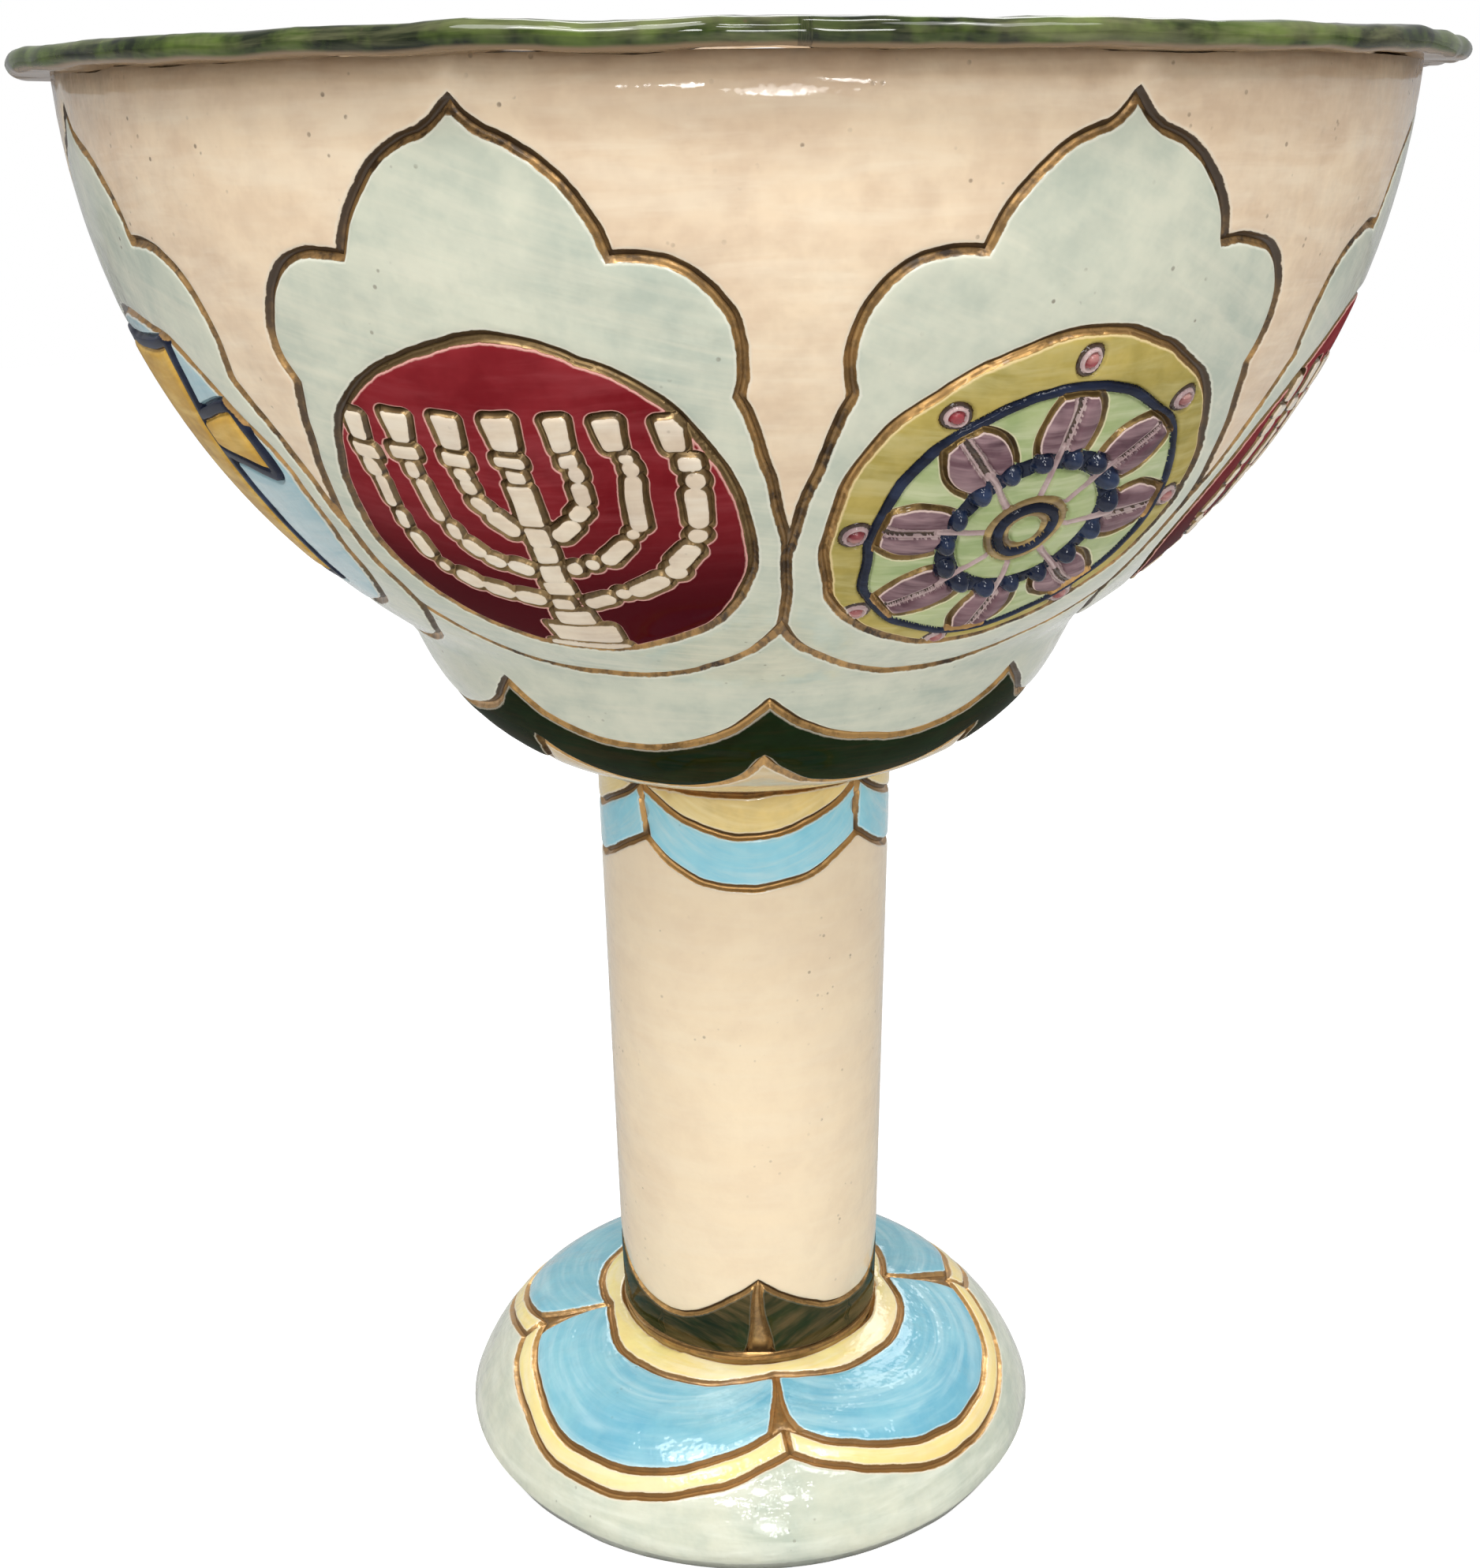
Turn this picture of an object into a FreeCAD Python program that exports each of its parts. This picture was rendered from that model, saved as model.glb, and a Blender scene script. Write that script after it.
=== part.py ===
import FreeCAD, Part
import math
import os
import re
from FreeCAD import Vector
import Sketcher

# An inlaid ceramic chalice: a half-round basin that grows out of a shallow cup, a
# slightly flared stem and a domed foot. The coloured fields are thin inlays bedded
# in shallow pockets, with a carved groove left open around each of them.
# Z points up, the origin is on the table under the middle of the foot, and the
# front is -Y. Lengths are in millimetres and angles in degrees.

sizeTable = [
    # basin
    ("bowl_radius", 212.0), ("bowl_wall", 10.0), ("rim_drop", 5.0),
    ("spigot_depth", 12.0), ("spigot_wall", 6.0), ("spigot_clearance", 0.5),
    # rim
    ("rim_overhang", 13.0), ("rim_thickness", 7.6),
    # stem
    ("stem_height", 277.5), ("stem_top_radius", 53.4), ("stem_bottom_radius", 50.2),
    ("stem_wall", 12.0), ("bedding_thickness", 1.5),
    # foot
    ("foot_radius", 112.0), ("foot_seat_height", 47.0), ("foot_shoulder_height", 39.6),
    ("foot_edge_height", 7.0), ("foot_edge_round", 8.5), ("foot_wall", 11.0),
    ("foot_ring_width", 12.0), ("foot_turn", 5.0),
    # inlays and the grooves between them
    ("inlay_depth", 3.0), ("bed_gap", 0.2), ("groove_width", 2.4), ("overrun", 5.0),
    ("motif_depth", 1.6), ("motif_rise", 0.4), ("motif_groove", 1.4),
    ("panel_tilt", 34.8),
]

# Sizes that keep their share of another size: name, the other size, share
shareTable = [
    # the cup under the basin, and the bands on it
    ("bowl_lift", "bowl_radius", 0.7325),
    ("cup_round_radius", "bowl_radius", 0.3684), ("cup_round_offset", "bowl_radius", 0.1953),
    ("zigzag_dip", "bowl_radius", 0.1415), ("zigzag_round", "bowl_radius", 0.2991),
    ("calyx_dip_radius", "bowl_radius", 0.3750), ("calyx_round", "bowl_radius", 0.2986),
    ("calyx_hem", "bowl_radius", 0.0142),
    # medallions
    ("medallion_radius", "bowl_radius", 0.2703), ("figure_reach", "medallion_radius", 0.925),
    # lampstand
    ("arm_pitch", "medallion_radius", 0.2583), ("arm_width", "medallion_radius", 0.0803),
    ("arm_centre_height", "medallion_radius", 0.2443),
    ("cup_width", "medallion_radius", 0.1152), ("cup_height", "medallion_radius", 0.1832),
    ("lampstand_top", "medallion_radius", 0.6283),
    ("lampstand_foot_width", "medallion_radius", 0.3839),
    ("lampstand_foot_height", "medallion_radius", 0.2618),
    ("shaft_width", "medallion_radius", 0.1222),
    # wheel
    ("wheel_radius", "medallion_radius", 0.8115), ("wheel_band", "medallion_radius", 0.0454),
    ("petal_reach", "medallion_radius", 0.5410), ("petal_length", "medallion_radius", 0.5236),
    ("petal_width", "medallion_radius", 0.2792),
    ("bead_ring_radius", "medallion_radius", 0.4101),
    ("bead_ring_width", "medallion_radius", 0.1134),
    ("hub_radius", "medallion_radius", 0.2094), ("spoke_width", "medallion_radius", 0.0524),
    # cross
    ("cross_arm", "medallion_radius", 0.7679), ("cross_top", "medallion_radius", 0.8202),
    ("cross_foot", "medallion_radius", 0.8377), ("cross_lift", "medallion_radius", 0.2792),
    ("cross_waist", "medallion_radius", 0.0873), ("cross_flare", "medallion_radius", 0.1832),
    # swags and crescents at the top of the stem, leaves at its bottom
    ("swag_round", "stem_top_radius", 1.0112), ("swag_drop", "stem_top_radius", 0.6929),
    ("swag_width", "stem_top_radius", 0.3652),
    ("leaf_round", "stem_bottom_radius", 0.9084), ("leaf_dip", "stem_bottom_radius", 0.2988),
    # foot, and the petals on it
    ("foot_shoulder_radius", "foot_radius", 0.75), ("foot_ring_radius", "foot_radius", 0.9598),
    ("foot_shoulder_round", "foot_radius", 0.5268),
    ("lobe_offset", "stem_bottom_radius", 0.3526), ("lobe_radius", "stem_bottom_radius", 0.9064),
    ("foot_petal_offset", "foot_radius", 0.3393), ("foot_petal_radius", "foot_radius", 0.5482),
    ("foot_border_offset", "foot_radius", 0.3098), ("foot_border_radius", "foot_radius", 0.6295),
]
panelCount = 8
quarterCount = 4
armPairs = 3
wheelPetals = 8
figureOrder = ["wheel", "lampstand", "cross", "lampstand"]

doc = FreeCAD.newDocument("InlaidChalice")
sheet = doc.addObject("Spreadsheet::Sheet", "Sizes")
for row, (alias, size) in enumerate(sizeTable, start=1):
    sheet.set(f"A{row}", alias)
    sheet.set(f"B{row}", str(size))
    sheet.setAlias(f"B{row}", alias)
doc.recompute()


shares = {name: (whole, share) for name, whole, share in shareTable}


def cell(match):
    """The sheet's cell for a name in braces, or its share of another one."""
    name = match.group(1)
    if name not in shares:
        return f"Sizes.{name}"
    whole, share = shares[name]
    return expr(f"{{{whole}}} * {share}")


def expr(text):
    """Turn the names in braces into cells of the sheet."""
    return "(" + re.sub(r"\{(\w+)\}", cell, text) + ")"


reader = doc.addObject("App::FeaturePython", "Reader")


def value(text):
    """Work a formula out with the sheet's present sizes."""
    result = reader.evalExpression(expr(text))
    return float(getattr(result, "Value", result))


# Heights and radii that follow from the sizes above
cupCentre = ("({stem_height} + sqrt({cup_round_radius}^2"
             " - ({stem_top_radius} - {cup_round_offset})^2))")
bowlCentre = f"({cupCentre} + {{bowl_lift}})"
rimSeat = f"({bowlCentre} - {{rim_drop}})"
stemFloor = "({foot_seat_height} + {bedding_thickness})"
stemTop = "({stem_height} - {bedding_thickness})"
stemBore = "({stem_bottom_radius} - {stem_wall})"
spigotRadius = f"({stemBore} - {{spigot_clearance}})"
spigotBore = f"({spigotRadius} - {{spigot_wall}})"
halfGroove = "({groove_width} / 2)"
inlayFloorDepth = "({inlay_depth} - {bed_gap})"
skirtTopShare = 0.68
skirtTop = f"({bowlCentre} - {{bowl_radius}} * {skirtTopShare})"
rimRadius = "({bowl_radius} + {rim_overhang})"
farRadius = f"({rimRadius} + {{overrun}})"
farHeight = f"({rimSeat} + {{rim_thickness}} + {{overrun}})"


# Sketches

def newSketch(body, name):
    """A sketch on the upright plane: its x runs to the right and its y runs up."""
    plane = next(f for f in body.Origin.OriginFeatures if f.Role == "XZ_Plane")
    sketch = body.newObject("Sketcher::SketchObject", name)
    sketch.AttachmentSupport = [(plane, "")]
    sketch.MapMode = "FlatFace"
    return sketch


def hold(sketch, kind, geometry, position, text):
    """Hold a coordinate of a point, or a radius, to a formula."""
    size = value(text)
    if kind == "Radius":
        index = sketch.addConstraint(Sketcher.Constraint(kind, geometry, size))
    elif size == 0:
        axis = -2 if kind == "DistanceX" else -1
        sketch.addConstraint(Sketcher.Constraint("PointOnObject", geometry, position, axis))
        return
    elif size > 0:
        index = sketch.addConstraint(
            Sketcher.Constraint(kind, -1, 1, geometry, position, size))
    else:
        index = sketch.addConstraint(
            Sketcher.Constraint(kind, geometry, position, -1, 1, -size))
        text = f"-({text})"
    sketch.setExpression(f"Constraints[{index}]", expr(text))


def arcBetween(start, end, radius):
    """The lesser arc from start to end that bulges to the right of the way there."""
    chord = end - start
    half = chord.Length / 2
    left = Vector(-chord.y, chord.x, 0).normalize()
    centre = (start + end) / 2 + left * math.sqrt(radius * radius - half * half)
    angles = [math.atan2(p.y - centre.y, p.x - centre.x) for p in (start, end)]
    return Part.ArcOfCircle(Part.Circle(centre, Vector(0, 0, 1), radius), *angles)


def join(sketch, ends):
    """Tie the end of each edge to the start of the next, round the loop."""
    for i, (index, first, last) in enumerate(ends):
        following = ends[(i + 1) % len(ends)]
        sketch.addConstraint(
            Sketcher.Constraint("Coincident", index, last, following[0], following[1]))


def drawOutline(sketch, corners):
    """Close a loop through corners (x, y, bend). The bend is the radius of the arc
    that leaves the corner, or None where a straight edge leaves it."""
    points = [Vector(value(x), value(y), 0) for x, y, bend in corners]
    ends = []
    for i, (x, y, bend) in enumerate(corners):
        start, end = points[i], points[(i + 1) % len(points)]
        if bend is None:
            edge = Part.LineSegment(start, end)
        else:
            edge = arcBetween(start, end, value(bend))
        ends.append((sketch.addGeometry(edge), 1, 2))
    join(sketch, ends)
    for (index, first, last), (x, y, bend) in zip(ends, corners):
        hold(sketch, "DistanceX", index, first, x)
        hold(sketch, "DistanceY", index, first, y)
        if bend is not None:
            hold(sketch, "Radius", index, 0, bend)


def crossing(first, second, wanted):
    """The crossing of two circles (x, y, radius) that lies nearest to a point."""
    a, b = Vector(first[0], first[1], 0), Vector(second[0], second[1], 0)
    apart = (b - a).Length
    along = (apart ** 2 + first[2] ** 2 - second[2] ** 2) / (2 * apart)
    off = math.sqrt(first[2] ** 2 - along ** 2)
    unit = (b - a).normalize()
    side = Vector(-unit.y, unit.x, 0) * off
    middle = a + unit * along
    return min((middle + side, middle - side), key=lambda p: (p - wanted).Length)


def drawLobes(sketch, arcs, grow):
    """Close a clockwise ring of arcs (x, y, radius, hollow, near): centre, radius,
    whether the arc bends inwards, and a point near its start. The whole ring is
    grown by a length, and its corners fall where neighbouring circles cross."""
    radii = [f"({radius} {'-' if hollow else '+'} ({grow}))"
             for x, y, radius, hollow, near in arcs]
    circles = [(value(arc[0]), value(arc[1]), value(radius))
               for arc, radius in zip(arcs, radii)]
    corners = [crossing(circles[i - 1], circles[i], arcs[i][4]) for i in range(len(arcs))]
    ends = []
    for i, (circle, arc) in enumerate(zip(circles, arcs)):
        start, end = corners[i], corners[(i + 1) % len(arcs)]
        first, last = (start, end) if arc[3] else (end, start)
        angles = [math.atan2(p.y - circle[1], p.x - circle[0]) for p in (first, last)]
        base = Part.Circle(Vector(circle[0], circle[1], 0), Vector(0, 0, 1), circle[2])
        index = sketch.addGeometry(Part.ArcOfCircle(base, *angles))
        ends.append((index, 1, 2) if arc[3] else (index, 2, 1))
    join(sketch, ends)
    for (index, first, last), arc, radius in zip(ends, arcs, radii):
        hold(sketch, "DistanceX", index, 3, arc[0])
        hold(sketch, "DistanceY", index, 3, arc[1])
        hold(sketch, "Radius", index, 0, radius)


# Features

def newBody(name):
    return doc.addObject("PartDesign::Body", name)


def revolve(body, name, corners):
    sketch = newSketch(body, f"{name}_profile")
    drawOutline(sketch, corners)
    feature = body.newObject("PartDesign::Revolution", name)
    feature.Profile = sketch
    feature.ReferenceAxis = (sketch, ["V_Axis"])
    feature.Angle = 360
    doc.recompute()
    return body


def pad(body, sketch, length):
    feature = body.newObject("PartDesign::Pad", f"{body.Name}_pad")
    feature.Profile = sketch
    feature.setExpression("Length", expr(length))
    doc.recompute()
    return body


def combine(kind, name, base, tool):
    result = doc.addObject(f"Part::{kind}", name)
    result.Base = base
    result.Tool = tool
    return result


def cut(name, base, *tools):
    for number, tool in enumerate(tools):
        base = combine("Cut", name if number == 0 else f"{name}_{number}", base, tool)
    return base


def common(name, base, *tools):
    for number, tool in enumerate(tools):
        base = combine("Common", name if number == 0 else f"{name}_{number}", base, tool)
    return base


def fuse(name, shapes):
    result = doc.addObject("Part::MultiFuse", name)
    result.Shapes = shapes
    return result


def seat(item, x="0", y="0", z="0", yaw="0", pitch="0", roll="0"):
    """Bind the whole placement of an object to formulas."""
    item.setExpression("Placement", "create(<<placement>>; "
                       f"create(<<vector>>; {expr(x)}; {expr(y)}; {expr(z)}); "
                       f"create(<<rotation>>; {expr(yaw)}; {expr(pitch)}; {expr(roll)}))")
    return item


def cylinder(name, radius, height, **place):
    item = doc.addObject("Part::Cylinder", name)
    item.setExpression("Radius", expr(radius))
    item.setExpression("Height", expr(height))
    return seat(item, **place)


def cone(name, lower, upper, height, z):
    item = doc.addObject("Part::Cone", name)
    item.setExpression("Radius1", expr(lower))
    item.setExpression("Radius2", expr(upper))
    item.setExpression("Height", expr(height))
    return seat(item, z=z)


def ball(name, radius):
    """A ball round the middle of the basin."""
    item = doc.addObject("Part::Sphere", name)
    item.setExpression("Radius", expr(radius))
    return seat(item, z=bowlCentre)


def block(name, length, width, height, **place):
    item = doc.addObject("Part::Box", name)
    item.setExpression("Length", expr(length))
    item.setExpression("Width", expr(width))
    item.setExpression("Height", expr(height))
    return seat(item, **place)


def frontRod(name, radius, z="0"):
    """A cylinder along Y, from the middle out through the front."""
    return cylinder(name, radius, farRadius, z=z, roll="90")


def tiltedRod(name, radius):
    """A cylinder from the middle of the basin out through the front medallion."""
    return cylinder(name, radius, farRadius, z=bowlCentre, roll="90 + {panel_tilt}")


def wedge(name, parts, inset):
    """A slice of cake round the front, one part of a full turn, with both of its
    straight sides drawn in by an inset."""
    item = doc.addObject("Part::Cylinder", name)
    item.setExpression("Radius", expr(farRadius))
    item.setExpression("Height", expr(farHeight))
    item.setExpression("Angle", expr(f"360 / {parts}"))
    return seat(item, y=f"-({inset}) / sin(180 / {parts})", yaw=f"-90 - 180 / {parts}")


def turned(name, masters, count, yaw):
    """Copies turned round the axis; the masters take turns, one for each copy."""
    made = []
    for number in range(1, count + 1):
        copy = doc.addObject("Part::Compound", f"{name}_{number}")
        copy.Links = [masters[(number - 1) % len(masters)]]
        seat(copy, yaw=yaw.format(number=number))
        made.append(copy)
    return made


def fused(name, master, count, yaw):
    """One solid made of all turned copies of a tool."""
    return fuse(name, turned(f"{name}_copy", [master], count, yaw))


panelTurn = "({number} - 0.5) * 360 / " + str(panelCount)
frontTurn = "({number} - 1) * 360 / " + str(quarterCount)
cornerTurn = "({number} - 0.5) * 360 / " + str(quarterCount)
footTurn = cornerTurn + " + Sizes.foot_turn"

subParts = []


def keep(item, label):
    item.Label = label
    subParts.append(item)
    return item


def keepAll(items, label):
    for number, item in enumerate(items, start=1):
        keep(item, f"{label}_{number}")


# The basin and its cup, drawn in by a depth

cupSteps = 3


def coreBody(name, depth, top, stepped=False):
    """The cup's side is one arc, or a few cones where it is a hidden floor of a bed."""
    body = newBody(name)
    round_ = f"({{cup_round_radius}} - {depth})"
    if depth == "0":
        lowest = ("{stem_top_radius}", "{stem_height}")
    else:
        lowest = ("{cup_round_offset}", f"{cupCentre} - {round_}")
    side = [(lowest[0], lowest[1], None if stepped else round_)]
    for step in range(1, cupSteps if stepped else 1):
        angle = f"(90 * {step} / {cupSteps})"
        side.append((f"{{cup_round_offset}} + {round_} * sin({angle})",
                     f"{cupCentre} - {round_} * cos({angle})", None))
    side.append((f"{{cup_round_offset}} + {round_}", cupCentre, None))
    revolve(body, f"{name}_cup", [("0", lowest[1], None), *side, ("0", cupCentre, None)])
    radius = f"({{bowl_radius}} - {depth})"
    corners = [
        ("0", f"{bowlCentre} - {radius}", radius),
        (f"sqrt({radius}^2 - {{rim_drop}}^2)", rimSeat, None),
        ("0", rimSeat, None),
    ]
    if top != rimSeat:
        corners[2:] = [(corners[1][0], top, None), ("0", top, None)]
    return revolve(body, f"{name}_dome", corners)


core = coreBody("core", "0", rimSeat)
bowlInside = coreBody("bowl_inside", "{bowl_wall}", farHeight)
bedCore = coreBody("bed_core", "{inlay_depth}", rimSeat, stepped=True)
backingCore = coreBody("backing_core", inlayFloorDepth, rimSeat, stepped=True)

spigot = cylinder("spigot", spigotRadius, "{spigot_depth} + {bowl_wall} / 2",
                  z="{stem_height} - {spigot_depth}")
spigotHollow = cylinder("spigot_hollow", spigotBore, "{spigot_depth} + {overrun}",
                        z="{stem_height} - {spigot_depth} - {overrun}")
bowlBlank = cut("bowl_blank", fuse("bowl_and_spigot", [core, spigot]), bowlInside, spigotHollow)

# Ogee panels. The right side of the outline is four arcs and the bottom is one,
# each with its centre and radius as shares of the basin's radius.

panelArcShares = [
    (0.0950, 0.5870, 0.1180, True),
    (-0.0085, 0.3066, 0.1830, False),
    (0.1811, 0.2340, 0.1217, False),
    (-0.4038, 0.0, 0.7138, False),
]
panelBottomShares = (0.0, -0.0391, 0.3240, False)
panelCornerShares = [(0.0, 0.5165), (0.0380, 0.4835), (0.1680, 0.3550), (0.2880, 0.1760),
                     (0.2815, -0.2000)]


def panelArcs():
    """The whole outline, clockwise from the apex."""
    def arc(shares, near, side):
        x, y, radius, hollow = shares
        point = Vector(near[0] * side, near[1], 0) * value("{bowl_radius}")
        return (f"{{bowl_radius}} * {x * side}", f"{{bowl_radius}} * {y}",
                f"{{bowl_radius}} * {radius}", hollow, point)
    right = [arc(s, n, 1) for s, n in zip(panelArcShares, panelCornerShares)]
    bottom = [arc(panelBottomShares, panelCornerShares[-1], 1)]
    left = [arc(s, n, -1) for s, n in zip(panelArcShares, panelCornerShares[1:])]
    return right + bottom + left[::-1]


def panelPrism(name, grow):
    """A prism with the panel's outline that looks out through the front panel."""
    body = newBody(name)
    sketch = newSketch(body, f"{name}_outline")
    drawLobes(sketch, panelArcs(), grow)
    return seat(pad(body, sketch, farRadius), z=bowlCentre, roll="{panel_tilt}")


inlayShell = cut("inlay_shell", ball("inlay_skin", "{bowl_radius}"),
                 ball("inlay_backing", f"{{bowl_radius}} - {inlayFloorDepth}"))
panelField = common("panel_field", inlayShell, panelPrism("panel_prism", f"-{halfGroove}"),
                    wedge("panel_sector", panelCount, halfGroove))
panelMaster = cut("panel_master", panelField,
                  tiltedRod("medallion_hole", f"{{medallion_radius}} + {halfGroove}"))
keepAll(turned("panel", [panelMaster], panelCount, panelTurn), "ogee_panel")

panelBed = cut("panel_bed", panelPrism("panel_bed_prism", halfGroove),
               ball("bed_ball", "{bowl_radius} - {inlay_depth}"))
panelBeds = fused("panel_beds", panelBed, panelCount, panelTurn)

# Medallions: a ground disc with a recess, and the raised figure in the recess

groundDisc = common("ground_disc", inlayShell,
                    tiltedRod("ground_rod", f"{{medallion_radius}} - {halfGroove}"))
recessBall = ball("recess_ball", "{bowl_radius} - {motif_depth}")
figureShell = cut("figure_shell", ball("figure_skin", "{bowl_radius} + {motif_rise}"),
                  ball("figure_backing", "{bowl_radius} - {motif_depth} + {bed_gap}"))


def plank(name, x, low, high, width, grow):
    """An upright bar of a figure, centred on x."""
    return block(name, f"{width} + 2 * {grow}", farRadius, f"{high} - ({low}) + 2 * {grow}",
                 x=f"{x} - ({width}) / 2 - {grow}", y=f"-{farRadius}", z=f"{low} - {grow}")


def annulus(name, radius, width, grow):
    return cut(name, frontRod(f"{name}_out", f"{radius} + {width} / 2 + {grow}"),
               frontRod(f"{name}_in", f"{radius} - {width} / 2 - {grow}"))


def lampstandFigure(name, grow):
    """Seven branches: three pairs of arms bent round one centre, cups on a level
    line, a straight shaft and a stepped foot."""
    level = "{lampstand_top} - {cup_height}"
    low = "-{figure_reach}"
    bars = [plank(f"{name}_shaft", "0", low, "{lampstand_top}", "{shaft_width}", grow),
            plank(f"{name}_foot", "0", low, f"{low} + {{lampstand_foot_height}} / 2",
                  "{lampstand_foot_width}", grow),
            plank(f"{name}_step", "0", low, f"{low} + {{lampstand_foot_height}}",
                  "{lampstand_foot_width} * 3 / 4", grow),
            plank(f"{name}_cup", "0", level, "{lampstand_top}",
                  "{cup_width} + {arm_width} / 2", grow)]
    for arm in range(1, armPairs + 1):
        above = block(f"{name}_above_{arm}", "2 * {medallion_radius}", farRadius,
                      "{medallion_radius}", x="-{medallion_radius}", y=f"-{farRadius}")
        bend = annulus(f"{name}_bend_{arm}", f"{arm} * {{arm_pitch}}", "{arm_width}", grow)
        bars.append(seat(cut(f"{name}_arm_{arm}", bend, above), z="{arm_centre_height}"))
        for side, sign in (("left", "-"), ("right", "")):
            x = f"{sign}{arm} * {{arm_pitch}}"
            bars.append(plank(f"{name}_branch_{side}_{arm}", x,
                              "{arm_centre_height} - {bed_gap}", "{lampstand_top}",
                              "{arm_width}", grow))
            bars.append(plank(f"{name}_cup_{side}_{arm}", x, level, "{lampstand_top}",
                              "{cup_width}", grow))
    return fuse(name, bars)


def wheelFigure(name, grow):
    """A rim, eight petals, a ring for the beads, eight spokes and a hub."""
    pieces = [annulus(f"{name}_rim", "{wheel_radius}", "{wheel_band}", grow),
              annulus(f"{name}_beads", "{bead_ring_radius}", "{bead_ring_width}", grow),
              frontRod(f"{name}_hub", f"{{hub_radius}} + {grow}")]
    for number in range(wheelPetals):
        turn = f"({number} * 360 / {wheelPetals})"
        petal = doc.addObject("Part::Ellipse", f"{name}_petal_{number}")
        petal.setExpression("MajorRadius", expr(f"{{petal_length}} / 2 + {grow}"))
        petal.setExpression("MinorRadius", expr(f"{{petal_width}} / 2 + {grow}"))
        seat(petal, x=f"{{petal_reach}} * cos({turn})", z=f"{{petal_reach}} * sin({turn})",
             pitch=f"-{turn}", roll="90")
        prism = doc.addObject("Part::Extrusion", f"{name}_petal_prism_{number}")
        prism.Base = petal
        prism.DirMode = "Custom"
        prism.Dir = Vector(0, -1, 0)
        prism.setExpression("LengthFwd", expr(farRadius))
        prism.Solid = True
        pieces.append(prism)
        half = f"({{spoke_width}} / 2 + {grow})"
        pieces.append(block(f"{name}_spoke_{number}", "{wheel_radius}", farRadius,
                            f"2 * {half}", x=f"{half} * sin({turn})", y=f"-{farRadius}",
                            z=f"-{half} * cos({turn})", pitch=f"-{turn}"))
    return fuse(name, pieces)


def crossFigure(name, grow):
    """A cross with a long foot, whose arms widen from the waist to their ends."""
    body = newBody(name)
    sketch = newSketch(body, f"{name}_outline")
    waist = f"({{cross_waist}} + {grow})"
    flare = f"({{cross_flare}} + {grow})"
    arm = f"({{cross_arm}} + {grow})"
    foot = f"({{cross_foot}} + {grow})"
    top = f"({{cross_top}} + {grow})"
    lift = "{cross_lift}"
    drawOutline(sketch, [
        (waist, f"{lift} + {waist}", None), (flare, top, None), (f"-{flare}", top, None),
        (f"-{waist}", f"{lift} + {waist}", None), (f"-{arm}", f"{lift} + {flare}", None),
        (f"-{arm}", f"{lift} - {flare}", None), (f"-{waist}", f"{lift} - {waist}", None),
        (f"-{flare}", f"-{foot}", None), (flare, f"-{foot}", None),
        (waist, f"{lift} - {waist}", None), (arm, f"{lift} - {flare}", None),
        (arm, f"{lift} + {flare}", None),
    ])
    return pad(body, sketch, farRadius)


def medallion(figure, build):
    """The ground and the figure of one kind of medallion, both at the front."""
    recess = common(f"{figure}_recess", seat(build(f"{figure}_recess_form", "{motif_groove}"),
                                             z=bowlCentre, roll="{panel_tilt}"),
                    tiltedRod(f"{figure}_recess_field", "{figure_reach} + {motif_groove}"))
    ground = cut(f"{figure}_ground", groundDisc,
                 cut(f"{figure}_recess_tool", recess, recessBall))
    motif = common(f"{figure}_motif", seat(build(f"{figure}_form", "0"),
                                           z=bowlCentre, roll="{panel_tilt}"),
                   tiltedRod(f"{figure}_field", "{figure_reach}"), figureShell)
    return ground, motif


medallions = {"lampstand": medallion("lampstand", lampstandFigure),
              "wheel": medallion("wheel", wheelFigure),
              "cross": medallion("cross", crossFigure)}
grounds = [medallions[figure][0] for figure in figureOrder]
motifs = [medallions[figure][1] for figure in figureOrder]
keepAll(turned("ground", grounds, panelCount, panelTurn), "medallion_ground")
keepAll(turned("motif", motifs, panelCount, panelTurn), "medallion_motif")

# Skirt, zigzag band and calyx: the three fields between the panels and the stem

belowPanels = cylinder("below_panels", "{bowl_radius}",
                       f"{skirtTop} - {{stem_height}} + {{overrun}}",
                       z="{stem_height} - {overrun}")
stemHem = "{stem_top_radius} + {calyx_hem}"
lowerField = cut("lower_field", common("lower_core", core, belowPanels), backingCore,
                 cylinder("hem_core", f"{stemHem} + {halfGroove}", farHeight))
lowerBed = cut("lower_bed", belowPanels, bedCore,
               cylinder("hem_cut", f"{stemHem} - {halfGroove}", farHeight))
swagCentre = "{stem_height} + {zigzag_dip} + {zigzag_round}"
starCentre = "-({calyx_dip_radius} + {calyx_round})"


def swagRods(name, grow):
    """Everything above the zigzag band's upper edge."""
    rod = frontRod(f"{name}_rod", f"{{zigzag_round}} + {grow}", z=swagCentre)
    return fused(name, rod, panelCount, panelTurn)


def starPosts(name, grow):
    """Everything outside the calyx's star."""
    post = cylinder(f"{name}_post", f"{{calyx_round}} + {grow}", farHeight, y=starCentre)
    return fused(name, post, panelCount, panelTurn)


skirt = cut("skirt", common("skirt_field", lowerField, swagRods("skirt_rods", f"-{halfGroove}")),
            panelBeds)
keep(skirt, "bowl_skirt")
zigzag = cut("zigzag", common("zigzag_field", lowerField,
                              starPosts("zigzag_posts", f"-{halfGroove}")),
             swagRods("zigzag_rods", halfGroove))
keep(zigzag, "zigzag_band")
keep(cut("calyx_field", lowerField, starPosts("calyx_posts", halfGroove)), "calyx")
keep(cut("bowl", bowlBlank, fuse("bowl_beds", [panelBeds, lowerBed])), "bowl_shell")

# Rim: a flat ring on the top of the wall, round outside and bevelled inside

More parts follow.
